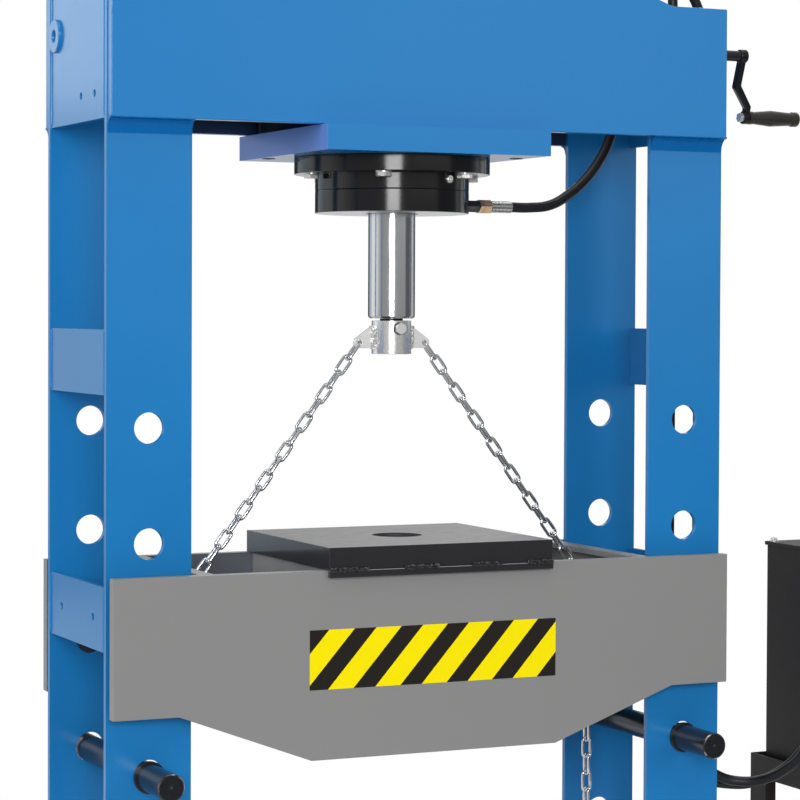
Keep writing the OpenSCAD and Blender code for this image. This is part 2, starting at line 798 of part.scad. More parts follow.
// End web, top flange and slotted chain hook, welded between the bed plates
module bed_end(side) {
    slot_w = wire_d + 1.5;
    slot_end = hook_at[0] + link_in_w / 2 + wire_d + 5;
    color(grey) on_side(side) difference() {
        union() {
            box([web_x, web_x + web_t], [-bed_inner_y, bed_inner_y], [bed_bottom + 10, bed_z]);
            box([web_x - web_flange_w + web_t, web_x + 1], [-bed_inner_y, bed_inner_y], [bed_z - web_t, bed_z]);
            box([hook_at[0] - 30, web_x + 1], [-40, 40], [hook_z, hook_z + hook_t]);
        }
        box([hook_at[0] - 31, slot_end], [-slot_w / 2, slot_w / 2], [hook_z - 1, hook_z + hook_t + 1]);
    }
}
module bed_end_left() { bed_end(-1); }
module bed_end_right() { bed_end(1); }

module bed_ribs() {
    color(grey) for (side = [-1, 1])
        on_side(side) box([rib_x - web_t / 2, rib_x + web_t / 2], [-bed_inner_y, bed_inner_y],
            [bed_z - plate_mid_h + 20, bed_z]);
}

// Loose platen with a strip outside the front plate and one inside the rear plate
module platen() {
    color(black) translate([platen_shift, 0, bed_z]) difference() {
        box([-platen_w / 2, platen_w / 2], [-platen_front, platen_rear], [0, platen_t]);
        translate([0, (platen_rear - platen_front) / 2, -1]) cylinder(d = platen_bore, h = platen_t + 2);
    }
}
module platen_strips() {
    half = platen_w / 2;
    inner = rib_x - web_t / 2 - abs(platen_shift) - 2;
    color(black) translate([platen_shift, 0, bed_z - strip_h]) {
        box([-half, half], [-strip_front, -strip_front + strip_t], [0, strip_h]);
        box([-inner, inner], [bed_inner_y - run - strip_t, bed_inner_y - run], [0, strip_h]);
    }
}

// Screw with a thrust collar inside its boss and the crank shaft outside
module lead_screw() {
    color(steel) {
        rod_x([screw_tip, -screw_y, screw_z], screw_d, boss_face - screw_tip);
        rod_x([boss_face - boss_len - run - thrust_t, -screw_y, screw_z], screw_d + 16, thrust_t);
    }
    color(black) rod_x([boss_face, -screw_y, screw_z], screw_d, run);
    color(black) rod_x([boss_face + run, -screw_y, screw_z], crank_shaft_d, crank_shaft_len);
}

// Children in the crank's own frame: shaft along X, arm hanging down
module crank_frame() {
    translate([crank_root, -screw_y, screw_z]) rotate([crank_angle, 0, 0]) children();
}

// Arm that drops straight, bends outward and ends in an eye for the grip
module crank_arm() {
    eye_top = -crank_r + arm_end_d * 0.7;
    color(black) crank_frame() difference() {
        union() {
            rod_x([0, 0, 0], crank_shaft_d + 4, arm_t);
            translate([0, arm_w / 2, 0]) rotate([90, 0, 0]) linear_extrude(arm_w) polygon([
                [0, 0], [arm_t, 0], [arm_t, -arm_knee],
                [crank_offset + arm_t, eye_top], [crank_offset + arm_t, -crank_r],
                [crank_offset, -crank_r], [crank_offset, eye_top], [0, -arm_knee]
            ]);
            rod_x([crank_offset - eye_proud, 0, -crank_r], arm_end_d, arm_t + 2 * eye_proud);
        }
        rod_x([0, 0, -crank_r], crank_bolt_d + 2 * fit, 2 * crank_offset);
    }
}

// Bolt through the arm's eye, with a hexagon head inside and a round nut in the end of the grip
module crank_bolt() {
    stem = grip_x + grip_len - grip_recess - crank_offset + eye_proud;
    color(steel) crank_frame() translate([crank_offset - eye_proud, 0, -crank_r]) rotate([0, 90, 0]) {
        translate([0, 0, -bolt_head_t]) hex_bar(bolt_head_af, bolt_head_t);
        cylinder(d = crank_bolt_d, h = stem);
        translate([0, 0, stem]) cylinder(d = crank_nut_d, h = grip_recess - run);
    }
}

// Turned grip that spins on the crank bolt
module grip() {
    r = grip_d / 2;
    color(black) crank_frame() translate([grip_x, 0, -crank_r]) rotate([0, 90, 0])
        difference() {
            rotate_extrude() polygon([
                [crank_bolt_d / 2 + run, 0], [r * 0.82, 0], [r * 0.82, 8], [r * 0.75, 10], [r, grip_len * 0.45],
                [r * 0.8, grip_len - 16], [r * 0.92, grip_len - 14], [r * 0.92, grip_len - 3],
                [r * 0.8, grip_len], [crank_bolt_d / 2 + run, grip_len]
            ]);
            translate([0, 0, grip_len - grip_recess - run])
                cylinder(d = crank_nut_d + 2 * run, h = 2 * grip_recess);
        }
}

// Angle legs with feet under an open tray
module unit_stand() {
    color(black) difference() {
        union() {
            box([unit_x, unit_x + tray_w], [unit_y - tray_d, unit_y], [tray_floor - tray_t, tray_rim_z]);
            for (i = [0, 1], j = [0, 1])
                leg_place(i, j) {
                    box([0, leg_w], [0, leg_w], [0, tray_floor - tray_t]);
                    box([0, leg_w + 20], [0, leg_w + 20], [0, 8]);
                }
        }
        for (i = [0, 1], j = [0, 1])
            leg_place(i, j) box([leg_t, leg_w + 1], [leg_t, leg_w + 1], [8, tray_floor - tray_t]);
        box([unit_x + tray_t, unit_x + tray_w - tray_t], [unit_y - tray_d + tray_t, unit_y - tray_t],
            [tray_floor, tray_rim_z + 1]);
    }
}
module leg_place(i, j) {
    translate([unit_x + i * tray_w, unit_y - tray_d + j * tray_d, 0])
        mirror([i, 0, 0]) mirror([0, j, 0]) children();
}

module tank() {
    color(black) difference() {
        box([tank_x, tank_x + tank_w], [tank_y - tank_d, tank_y], [tray_floor, lid_z]);
        box([tank_x + tank_t, tank_x + tank_w - tank_t], [tank_y - tank_d + tank_t, tank_y - tank_t],
            [tray_floor + tank_t, lid_z + 1]);
    }
}

module tank_lid() {
    lip = 4;
    color(black) box([tank_x - lip, tank_x + tank_w + lip], [tank_y - tank_d - lip, tank_y + lip],
        [lid_z, lid_top]);
}

// Upright electric motor with cooling fins, fan cover and terminal box
module motor() {
    color(black) translate([motor_at[0], motor_at[1], lid_top]) {
        cylinder(d = motor_d + 2 * fin + 6, h = 14);
        cylinder(d = motor_d, h = motor_h);
        for (i = [0 : fins_n - 1])
            rotate([0, 0, i * 360 / fins_n])
                box([motor_d / 2 - 4, motor_d / 2 + fin], [-1.5, 1.5], [14, motor_h - 6]);
        translate([0, 0, motor_h]) cylinder(d = motor_d + 2 * fin, h = fan_h);
        translate([0, 0, motor_h + fan_h]) cylinder(d1 = motor_d + 2 * fin, d2 = motor_d - 10, h = fin);
        box([-terminal[0] / 2, terminal[0] / 2], [10 - motor_d / 2 - terminal[1], 10 - motor_d / 2],
            [terminal_z, terminal_z + terminal[2]]);
    }
}

module filler_cap() {
    color(black) translate([filler_at[0], filler_at[1], lid_top]) {
        cylinder(d = 46, h = 14);
        translate([0, 0, 14]) cylinder(d = 64, h = 30);
    }
}

// Valve block with two hose ports towards the press
module valve_block() {
    w = valve_size / 2;
    color(steel) translate([valve_at[0], valve_at[1], lid_top]) difference() {
        union() {
            box([-w[0], w[0]], [-w[1], w[1]], [0, valve_size[2]]);
            box([-14, -7], [-14, 14], [valve_size[2], valve_size[2] + 26]);
            box([7, 14], [-14, 14], [valve_size[2], valve_size[2] + 26]);
            for (y = [-port_y, port_y]) {
                translate([-w[0], y, port_z - lid_top]) rotate([0, -90, 0]) hex_bar(27, 20);
                rod_x([-w[0] - port_len, y, port_z - lid_top], 24, port_len - 20);
            }
        }
        rod_x([-20, 0, valve_size[2] + 16], 10 + 2 * run, 40);
    }
}

// Gauge on a short stem behind the lever
module gauge() {
    at = [valve_at[0], valve_at[1] + valve_size[1] / 2 - 14, lid_top + valve_size[2]];
    color(steel) translate(at) {
        cylinder(d = 12, h = 30);
        translate([0, 10, 58]) rotate([90, 0, 0]) cylinder(d = 63, h = 26);
    }
}

// Hand lever with a ball, on a pin between the valve's cheeks
module valve_lever() {
    color(black) translate([valve_at[0], valve_at[1], lever_z]) {
        rod_x([-6, 0, 0], 22, 12);
        rod_x([-15, 0, 0], 10, 30);
        rotate([20, 0, 0]) cylinder(d = 11, h = lever_len);
        rotate([20, 0, 0]) translate([0, 0, lever_len]) sphere(d = 34);
    }
}

// Hose from the gland up through the beam and over its end, and down to the valve
module hose_lower_loop() { hose(lower_loop_route); }
module hose_lower_run() { hose(lower_run_route); }

// Hose from the cap over the beam's end and down to the valve
module hose_upper_loop() { hose(upper_loop_route); }
module hose_upper_run() { hose(upper_run_route); }

upright_front_left();
upright_front_right();
upright_rear_left();
upright_rear_right();
battens_left();
battens_right();
beam_front_plate();
beam_rear_plate();
beam_end_left();
beam_end_right();
beam_welds();
foot_left();
foot_right();
carriage_rails();
screw_boss_left();
screw_boss_right();
pin_left();
pin_right();
carriage_plate();
hangers();
cylinder_barrel();
cylinder_gland();
rod_wiper();
cylinder_cap();
flange_bolts();
nut_bracket();
drive_nut();
lower_fitting();
upper_fitting();
ram_rod();
piston();
chain_collar();
collar_bolt();
chain_left();
chain_right();
bed_front_plate();
bed_rear_plate();
bed_end_left();
bed_end_right();
bed_ribs();
platen();
platen_strips();
chain_tail_left();
chain_tail_right();
lead_screw();
crank_arm();
crank_bolt();
grip();
unit_stand();
tank();
tank_lid();
motor();
filler_cap();
valve_block();
gauge();
valve_lever();
hose_lower_loop();
hose_upper_loop();
hose_lower_run();
hose_upper_run();
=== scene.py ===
# Workshop press with a travelling cylinder, a bed on two chains and a power unit.
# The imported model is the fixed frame, in metres, with the ram on the Z axis and the front towards -Y.
import math

import bpy
from mathutils import Matrix, Vector


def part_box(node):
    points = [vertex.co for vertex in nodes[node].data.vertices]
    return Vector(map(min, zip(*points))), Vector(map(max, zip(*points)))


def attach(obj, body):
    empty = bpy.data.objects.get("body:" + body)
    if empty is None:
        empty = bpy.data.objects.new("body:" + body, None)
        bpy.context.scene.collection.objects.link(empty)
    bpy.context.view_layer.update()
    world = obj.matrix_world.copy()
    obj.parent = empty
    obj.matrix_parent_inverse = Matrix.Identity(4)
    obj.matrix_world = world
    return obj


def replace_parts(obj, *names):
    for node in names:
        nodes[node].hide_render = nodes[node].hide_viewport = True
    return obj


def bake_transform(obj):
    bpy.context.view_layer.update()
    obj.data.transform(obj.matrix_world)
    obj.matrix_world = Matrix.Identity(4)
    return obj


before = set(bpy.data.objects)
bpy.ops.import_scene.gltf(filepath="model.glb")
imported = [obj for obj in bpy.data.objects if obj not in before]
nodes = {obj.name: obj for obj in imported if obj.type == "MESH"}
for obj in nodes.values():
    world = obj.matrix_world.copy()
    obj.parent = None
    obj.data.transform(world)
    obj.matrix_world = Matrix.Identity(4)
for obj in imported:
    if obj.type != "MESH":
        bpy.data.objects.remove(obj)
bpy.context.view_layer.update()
bpy.ops.object.select_all(action="DESELECT")

# Camera: a long lens on a tripod at chest height, to the left of the press.
# Its place, turn and lens were fitted to the press's own edges.
image_px, focal_px, middle_px, sensor_mm = 800, 2612.29, (399.12, 369.43), 36
tripod_place = (-2.08748, -4.55661, 1.41588)
yaw, pitch, roll = math.radians(24.787), math.radians(-1.362), math.radians(0.232)
forward = Vector((math.sin(yaw) * math.cos(pitch), math.cos(yaw) * math.cos(pitch), math.sin(pitch)))
level = Vector((math.cos(yaw), -math.sin(yaw), 0))
upward = level.cross(forward)
across = level * math.cos(roll) + upward * math.sin(roll)
upright = upward * math.cos(roll) - level * math.sin(roll)
camera_data = bpy.data.cameras.new("camera")
camera_data.sensor_width = sensor_mm
camera_data.lens = focal_px / image_px * sensor_mm
camera_data.shift_x = (image_px / 2 - middle_px[0]) / image_px
camera_data.shift_y = (middle_px[1] - image_px / 2) / image_px
camera_data.clip_end = 100
camera = bpy.data.objects.new("camera", camera_data)
bpy.context.scene.collection.objects.link(camera)
camera_turn = Matrix((across, upright, -forward)).transposed().to_4x4()
camera.matrix_world = Matrix.Translation(tripod_place) @ camera_turn
bpy.context.scene.camera = camera


# Frame: uprights of flat bar in pairs, battens, a head beam of two deep plates with end plates, and feet.
# All of it is welded steel under one coat of glossy blue enamel, sprayed, with a faint orange peel.
class Shade:
    """A value on its way through a material's nodes; arithmetic on it adds Math nodes."""

    def __init__(self, tree, socket=None):
        self.tree, self.socket = tree, socket

    def node(self, kind, settings=None, sockets=None, out=0):
        made = self.tree.nodes.new(kind)
        for key, value in (settings or {}).items():
            setattr(made, key, value)
        for key, value in (sockets or {}).items():
            if isinstance(value, Shade):
                self.tree.links.new(value.socket, made.inputs[key])
            else:
                made.inputs[key].default_value = value
        return Shade(self.tree, made.outputs[out])

    def math(self, operation, *values):
        return self.node("ShaderNodeMath", {"operation": operation}, dict(enumerate(values)))

    def __add__(self, other):
        return self.math("ADD", self, other)

    def __sub__(self, other):
        return self.math("SUBTRACT", self, other)

    def __rsub__(self, other):
        return self.math("SUBTRACT", other, self)

    def __mul__(self, other):
        return self.math("MULTIPLY", self, other)

    def __abs__(self):
        return self.math("ABSOLUTE", self)

    __radd__ = __add__
    __rmul__ = __mul__

    def reach(self, other):
        """Distance from an axis, from two values measured square to it."""
        return self.math("SQRT", self * self + other * other)

    def place(self):
        return self.node("ShaderNodeTexCoord", out="Object")

    def along(self, axis):
        return self.node("ShaderNodeSeparateXYZ", sockets={0: self.place()}, out=axis)

    def noise(self, scale, detail=3.0, stretch=None):
        spot = self.place()
        if stretch:
            spot = self.node("ShaderNodeMapping", sockets={"Vector": spot, "Scale": stretch})
        return self.node("ShaderNodeTexNoise", sockets={"Vector": spot, "Scale": scale, "Detail": detail})

    def step(self, low, high, to_low=0.0, to_high=1.0):
        span = {"Value": self, "From Min": low, "From Max": high, "To Min": to_low, "To Max": to_high}
        return self.node("ShaderNodeMapRange", {"interpolation_type": "SMOOTHSTEP"}, span)

    def colours(self, none, full):
        return self.node("ShaderNodeMix", {"data_type": "RGBA"}, {0: self, 6: none, 7: full}, out=2)

    def bump(self, strength, distance):
        dent = {"Strength": strength, "Distance": distance, "Height": self}
        return self.node("ShaderNodeBump", sockets=dent, out="Normal")

    def orange_peel(self, strength):
        return self.noise(420.0, 2.0).bump(strength, 0.0004)

    def into(self, socket):
        self.tree.links.new(self.socket, socket)


def start_finish(name):
    """A new material with its shader's sockets and a first value to build on."""
    material = bpy.data.materials.new(name)
    material.use_nodes = True
    return material, material.node_tree.nodes["Principled BSDF"].inputs, Shade(material.node_tree)


def darker(colour, share):
    """The colour with each part scaled, as a shader takes it."""
    return (colour[0] * share, colour[1] * share, colour[2] * share, 1)


def enamel(name, colour, gloss, peel, spread=0.12, sheen=0.5):
    """Sprayed paint: slow changes of tone, dust in the gloss and a fine orange peel."""
    material, sockets, shade = start_finish(name)
    sockets["Specular IOR Level"].default_value = sheen
    film = shade.noise(2.2, 2.0).step(0.3, 0.7)
    film.colours(darker(colour, 1 - spread), darker(colour, 1 + spread * 0.5)).into(sockets["Base Color"])
    shade.noise(38.0, 4.0).step(0.35, 0.75, gloss - 0.015, gloss + 0.02).into(sockets["Roughness"])
    shade.orange_peel(peel).into(sockets["Normal"])
    return material


def dress(material, slot, *names):
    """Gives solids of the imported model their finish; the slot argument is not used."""
    for name in names:
        piece = nodes[name]
        piece.data.materials.clear()
        piece.data.materials.append(material)


def ease_edges(width, *names, rings=2, limit=38):
    """Rounds the sharp edges of welded or turned pieces by a paint-covered radius."""
    for name in names:
        merge = nodes[name].modifiers.new("merge", "WELD")
        merge.merge_threshold = 0.00002
        flat = nodes[name].modifiers.new("flat", "DECIMATE")
        flat.decimate_type = "DISSOLVE"
        flat.angle_limit = math.radians(0.5)
        edge = nodes[name].modifiers.new("edge", "BEVEL")
        edge.width = width
        edge.segments = rings
        edge.limit_method = "ANGLE"
        edge.angle_limit = math.radians(limit)
        edge.use_clamp_overlap = True
        edge.harden_normals = True


blue_tone = (0.010, 0.172, 0.446)
blue = enamel("blue_enamel", blue_tone, 0.22, 0.06, 0.05, 0.45)
frame_plates = [
    "upright_front_left", "upright_front_right", "upright_rear_left", "upright_rear_right",
    "foot_left", "foot_right", "screw_boss_left", "screw_boss_right",
]
cross_plates = ["battens_left", "battens_right", "beam_end_left", "beam_end_right"]
dress(blue, "blue_paint", *frame_plates, *cross_plates)
ease_edges(0.0030, *cross_plates)
beam_plates = ["beam_front_plate", "beam_rear_plate"]
inner_face = 0.172


def paint_with_shaded_inside(name, colour, shadowed, face, gloss, sheen):
    """Paint for a pair of plates: the faces turned to each other are painted darker, as painted shade between the
    plates.
    """
    material, sockets, shade = start_finish(name)
    painted_shade_inside = abs(shade.along("Y")).step(face + 0.0002, face + 0.0006, 1.0, 0.0)
    painted_shade_inside.colours((*colour, 1), (*shadowed, 1)).into(sockets["Base Color"])
    painted_shade_inside.step(0, 1, gloss, gloss + 0.2).into(sockets["Roughness"])
    sockets["Specular IOR Level"].default_value = sheen
    shade.orange_peel(0.06).into(sockets["Normal"])
    return material


# The beam plates' inner faces get a dark navy: painted shade for the dim inside of the beam.
beam_painted_shade = (0.011, 0.028, 0.080)
beam_paint = paint_with_shaded_inside("blue_outside_painted_shade_inside", blue_tone, beam_painted_shade, inner_face, 0.24, 0.45)
dress(beam_paint, "blue_paint", *beam_plates)
ease_edges(0.0016, *frame_plates, *beam_plates)


# Weld runs: short ripples of bead, painted over with the plates, where battens and end plates
# meet the uprights and where the uprights stand on their feet.
def settle(piece, place):
    """Puts a new piece where it belongs and leaves its object at the origin."""
    piece.matrix_world = place
    bpy.ops.object.select_all(action="DESELECT")
    piece.select_set(True)
    bpy.context.view_layer.objects.active = piece
    bpy.ops.object.transform_apply(location=True, rotation=True, scale=True)


def gather(name, pieces, material, body, angle=40):
    """Joins like pieces into one, smooths it, paints it and lets it ride on its body."""
    bpy.ops.object.select_all(action="DESELECT")
    for piece in pieces:
        piece.select_set(True)
    whole = pieces[0]
    bpy.context.view_layer.objects.active = whole
    if len(pieces) > 1:
        bpy.ops.object.join()
    whole.name = whole.data.name = name
    bpy.ops.object.shade_smooth_by_angle(angle=math.radians(angle))
    straight = whole.modifiers.new("straight", "WEIGHTED_NORMAL")
    straight.keep_sharp = True
    bpy.ops.object.modifier_apply(modifier="straight")
    if material:
        whole.data.materials.clear()
        whole.data.materials.append(material)
    if body:
        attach(whole, body)
    whole.select_set(False)
    return whole


def weld_run(start, end, radius, swell=1.14, rough=0.0):
    """One ripple of bead, turned from a ring, repeated from start to end, closed and roughened."""
    start, end = Vector(start), Vector(end)
    count = max(3, round((end - start).length / (radius * 0.95)))
    pitch = (end - start).length / count
    bpy.ops.mesh.primitive_circle_add(vertices=10, radius=radius / swell)
    bead = bpy.context.object
    bpy.ops.object.mode_set(mode="EDIT")
    bpy.ops.mesh.select_all(action="SELECT")
    for rise, grow in ((0.3, swell), (0.7, 1 / swell)):
        bpy.ops.mesh.extrude_region_move(TRANSFORM_OT_translate={"value": (0, 0, pitch * rise)})
        bpy.ops.transform.resize(value=(grow, grow, 1), center_override=(0, 0, 0))
    bpy.ops.object.mode_set(mode="OBJECT")
    ripples = bead.modifiers.new("ripples", "ARRAY")
    ripples.count = count
    ripples.use_relative_offset = False
    ripples.use_constant_offset = True
    ripples.constant_offset_displace = (0, 0, pitch)
    ripples.use_merge_vertices = True
    ripples.merge_threshold = pitch * 0.05
    bpy.ops.object.modifier_apply(modifier="ripples")
    bpy.ops.object.mode_set(mode="EDIT")
    bpy.ops.mesh.select_all(action="SELECT")
    bpy.ops.mesh.fill_holes(sides=0)
    bpy.ops.mesh.select_all(action="SELECT")
    bpy.ops.mesh.normals_make_consistent(inside=False)
    if rough:
        bpy.ops.transform.vertex_random(offset=radius * rough, uniform=0.4, normal=0.3, seed=count)
    bpy.ops.object.mode_set(mode="OBJECT")
    settle(bead, Matrix.Translation(start) @ (end - start).to_track_quat("Z", "Y").to_matrix().to_4x4())
    return bead


seam, end_seam, foot_seam = 0.0035, 0.0028, 0.0045
upright_in, upright_out, foot_top = 0.472, 0.628, 0.0215
batten_bottoms, batten_from, batten_to = (0.080, 0.802, 1.258), 0.003, 0.113
batten_y, end_y, upright_faces = 0.1585, 0.1735, (0.158, 0.174)
inner_from, inner_to, outer_from, outer_to = 1.752, 1.994, 1.760, 1.996
for side, name in ((-1, "left"), (1, "right")):
    runs = []
    edge_x, end_x = side * upright_out, side * (upright_out - 0.002)
    for bottom in batten_bottoms:
        for y in (-batten_y, batten_y):
            runs.append(weld_run((edge_x, y, bottom + batten_from), (edge_x, y, bottom + batten_to), seam))
    for back in (-1, 1):
        runs.append(weld_run((edge_x, back * batten_y, inner_from), (edge_x, back * batten_y, inner_to), seam))
        runs.append(weld_run((end_x, back * end_y, outer_from), (end_x, back * end_y, outer_to), end_seam))
        for face in upright_faces:
            runs.append(weld_run((side * upright_in, back * face, foot_top),
                                 (side * upright_out, back * face, foot_top), foot_seam))
    gather("frame_welds_" + name, runs, blue, "frame")

# Welds under the beam: a hollow fillet in several fine passes along each upright's outer face,
# dressed smooth and painted over in a blue a little darker than the plates', as painted shade on its underside.
weld_leg, weld_drop, beam_bottom = 0.0216, 0.0270, 1.748
fillet_starts, fillet_run, fillet_steps = {-1: -0.629, 1: 0.471}, 0.158, 26
into_beam, into_upright, arc_steps = 0.002, 0.003, 16
passes = [(-weld_leg, into_beam)]
for k in range(arc_steps + 1):
    swing, proud = math.radians(90 * k / arc_steps), 0.0005 * (k % 4 == 2)
    passes.append((-weld_leg + (weld_leg - 0.0008 - proud) * math.sin(swing),
                   -weld_drop + (weld_drop - 0.001 - proud) * math.cos(swing)))
passes += [(into_upright, -weld_drop), (into_upright, into_beam)]
# A darker blue than the plates: painted shade on the fillet's downward-facing side.
fillet_blue_painted_shade = enamel("fillet_blue_painted_shade", (0.003, 0.118, 0.370), 0.28, 0.04, 0.10, 0.08)
fillets = []
for side in (-1, 1):
    for face in (-1, 1):
        bpy.ops.mesh.primitive_circle_add(vertices=len(passes), fill_type="NGON")
        fillet = bpy.context.object
        for vertex, (y, z) in zip(fillet.data.vertices, passes):
            vertex.co = (0, y, z)
        bpy.ops.object.mode_set(mode="EDIT")
        bpy.ops.mesh.select_all(action="SELECT")
        for k in range(fillet_steps):
            bpy.ops.mesh.extrude_region_move(
                TRANSFORM_OT_translate={"value": (fillet_run / fillet_steps, 0, 0)})
        bpy.ops.mesh.select_all(action="SELECT")
        bpy.ops.mesh.normals_make_consistent(inside=False)
        bpy.ops.transform.vertex_random(offset=0.0004, uniform=0.3, normal=0.3, seed=5 + side + 3 * face)
        bpy.ops.object.mode_set(mode="OBJECT")
        settle(fillet, Matrix.Translation((fillet_starts[side], face * inner_face, beam_bottom))
               @ Matrix.Scale(-face, 4, (0, 1, 0)))
        bpy.ops.object.mode_set(mode="EDIT")
        bpy.ops.mesh.select_all(action="SELECT")
        bpy.ops.mesh.normals_make_consistent(inside=False)
        bpy.ops.object.mode_set(mode="OBJECT")
        fillets.append(fillet)
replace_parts(gather("beam_fillets", fillets, fillet_blue_painted_shade, "frame", 50), "beam_welds")

# Carriage: a thick flame-cut plate under the beam that carries the cylinder, in the frame's blue; its cut ends
# are painted a paler blue, a painted reflection, and are duller. It hangs on rails of dark steel in the beam,
# and four countersunk socket screws hold the hangers from below.
carriage_paint, sockets, shade = start_finish("carriage_blue")
carriage_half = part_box("carriage_plate")[1].x
# The cut ends are painted a paler blue: a painted reflection.
cut_end_painted_reflection = abs(shade.along("X")).step(carriage_half - 0.0008, carriage_half - 0.0004)
cut_end_painted_reflection.colours((*blue_tone, 1), (0.090, 0.195, 0.530, 1)).into(sockets["Base Color"])
cut_end_painted_reflection.step(0, 1, 0.22, 0.45).into(sockets["Roughness"])
sockets["Specular IOR Level"].default_value = 0.45
shade.orange_peel(0.06).into(sockets["Normal"])
dress(carriage_paint, "blue_paint", "carriage_plate")
dress(blue, "blue_paint", "nut_bracket")
ease_edges(0.0016, "carriage_plate", "nut_bracket")


def metal(name, colour, gloss, scratch, stretch, shine=1.0, spread=0.08, rim=1.0):
    """Bare or plated metal: drawn scratches in its gloss and a slow change of tone."""
    material, sockets, shade = start_finish(name)
    tone = shade.noise(30.0, 4.0).step(0.3, 0.7)
    tone.colours(darker(colour, 1 - spread), darker(colour, 1 + spread)).into(sockets["Base Color"])
    lines = shade.noise(90.0, 5.0, stretch)
    lines.step(0.25, 0.8, gloss * 0.75, gloss * 1.35).into(sockets["Roughness"])
    sockets["Metallic"].default_value = shine
    sockets["Specular Tint"].default_value = (rim, rim, rim, 1)
    if scratch:
        lines.bump(scratch, 0.0002).into(sockets["Normal"])
    return material


zinc = metal("bright_zinc", (0.73, 0.73, 0.71), 0.28, 0.0, (1, 1, 1), 0.65, 0.03)
dark_steel = metal("oiled_steel", (0.09, 0.09, 0.095), 0.38, 0.04, (1, 1, 1))
dress(dark_steel, "black_paint", "hangers", "carriage_rails")
ease_edges(0.0016, "hangers", "carriage_rails")


def ring_of(vertices, profile, bored=False):
    """Turned piece: a circle extruded and resized along Z through (radius, height) steps.

    A bored one ends at the step where it began.
    """
    radius, height = profile[0]
    fill = "NOTHING" if bored else "NGON"
    bpy.ops.mesh.primitive_circle_add(vertices=vertices, radius=radius, fill_type=fill, location=(0, 0, height))
    piece = bpy.context.object
    bpy.ops.object.transform_apply(location=True)
    bpy.ops.object.mode_set(mode="EDIT")
    bpy.ops.mesh.select_all(action="SELECT")
    for wide, up in profile[1:]:
        bpy.ops.mesh.extrude_region_move(TRANSFORM_OT_translate={"value": (0, 0, up - height)})
        bpy.ops.transform.resize(value=(wide / radius, wide / radius, 1), center_override=(0, 0, up))
        radius, height = wide, up
    bpy.ops.mesh.select_all(action="SELECT")
    bpy.ops.mesh.remove_doubles(threshold=0.00001)
    bpy.ops.mesh.normals_make_consistent(inside=False)
    bpy.ops.object.mode_set(mode="OBJECT")
    return piece


def soften(piece, width, rings=2, limit=30):
    """Rounds a new piece's sharp edges."""
    edge = piece.modifiers.new("edge", "BEVEL")
    edge.width, edge.segments = width, rings
    edge.limit_method, edge.angle_limit = "ANGLE", math.radians(limit)
    bpy.context.view_layer.objects.active = piece
    bpy.ops.object.modifier_apply(modifier="edge")
    return piece


def hexagon(flats, height):
    """Hexagon head or nut with its corners chamfered at both ends, along Z from 0."""
    corner = flats / math.sqrt(3)
    bpy.ops.mesh.primitive_cylinder_add(vertices=6, radius=corner, depth=height, location=(0, 0, height / 2))
    head = bpy.context.object
    bpy.ops.object.transform_apply(location=True)
    slope = (corner - flats / 2 * 0.97) * 0.58
    turned = ring_of(48, [(flats / 2 * 0.97, 0), (corner, slope), (corner, height - slope),
                          (flats / 2 * 0.97, height)])
    cut = head.modifiers.new("chamfer", "BOOLEAN")
    cut.operation, cut.object = "INTERSECT", turned
    bpy.context.view_layer.objects.active = head
    bpy.ops.object.modifier_apply(modifier="chamfer")
    bpy.data.objects.remove(turned)
    return head


plate_bottom, hanger_x, hanger_y = 1.7005, 0.208, 0.115
hanger_screws = []
for x in (-hanger_x, hanger_x):
    for y in (-hanger_y, hanger_y):
        screw = ring_of(32, [(0.0125, 0.002), (0.0125, -0.0006), (0.0118, -0.0012), (0.0065, -0.0012),
                             (0.006, 0.0012)])
        settle(screw, Matrix.Translation((x, y, plate_bottom)))
        hanger_screws.append(screw)
gather("hanger_screws", hanger_screws, dark_steel, "carriage")

# Cylinder: flange, foot and gland turned from steel and sprayed gloss black, the gland's underside left bright.
# Six bolts hold the flange to the carriage plate; a small plug closes the bleed port.
flange_bottom, body_bottom, gland_bottom = 1.6685, 1.6375, 1.5945
barrel_top, cap_top = 1.9955, 2.0305
flange_radius, body_radius, barrel_radius, bore_radius = 0.1875, 0.1475, 0.110, 0.088
black_tone = (0.006, 0.006, 0.007)
black_gloss = enamel("black_gloss", black_tone, 0.15, 0.09, 0.3, 0.42)
barrel = ring_of(128, [
    (bore_radius, body_bottom), (body_radius, body_bottom), (body_radius, flange_bottom),
    (flange_radius, flange_bottom), (flange_radius, plate_bottom), (barrel_radius, plate_bottom),
    (barrel_radius, barrel_top), (bore_radius, barrel_top), (bore_radius, body_bottom)], bored=True)
soften(barrel, 0.0016)
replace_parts(gather("cylinder_body", [barrel], black_gloss, "carriage", 35), "cylinder_barrel")
cap_port = 0.008
cap = soften(ring_of(96, [
    (cap_port, barrel_top), (barrel_radius, barrel_top), (barrel_radius, cap_top), (cap_port, cap_top),
    (cap_port, barrel_top)], bored=True), 0.003)
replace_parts(gather("cylinder_lid", [cap], black_gloss, "carriage", 35), "cylinder_cap")
gland_paint, sockets, shade = start_finish("gland_black_and_bright")
painted = shade.along("Z").step(gland_bottom + 0.0004, gland_bottom + 0.0012)
painted.colours((0.62, 0.62, 0.63, 1), (*black_tone, 1)).into(sockets["Base Color"])
sockets["Specular IOR Level"].default_value = 0.42
(1.0 - painted).into(sockets["Metallic"])
painted.step(0, 1, 0.34, 0.15).into(sockets["Roughness"])
shade.orange_peel(0.09).into(sockets["Normal"])
rod_bore, wiper_radius, spigot_radius = 0.0455, 0.0512, bore_radius - 0.0002
wiper_top, spigot_top = gland_bottom + 0.008, body_bottom + 0.015
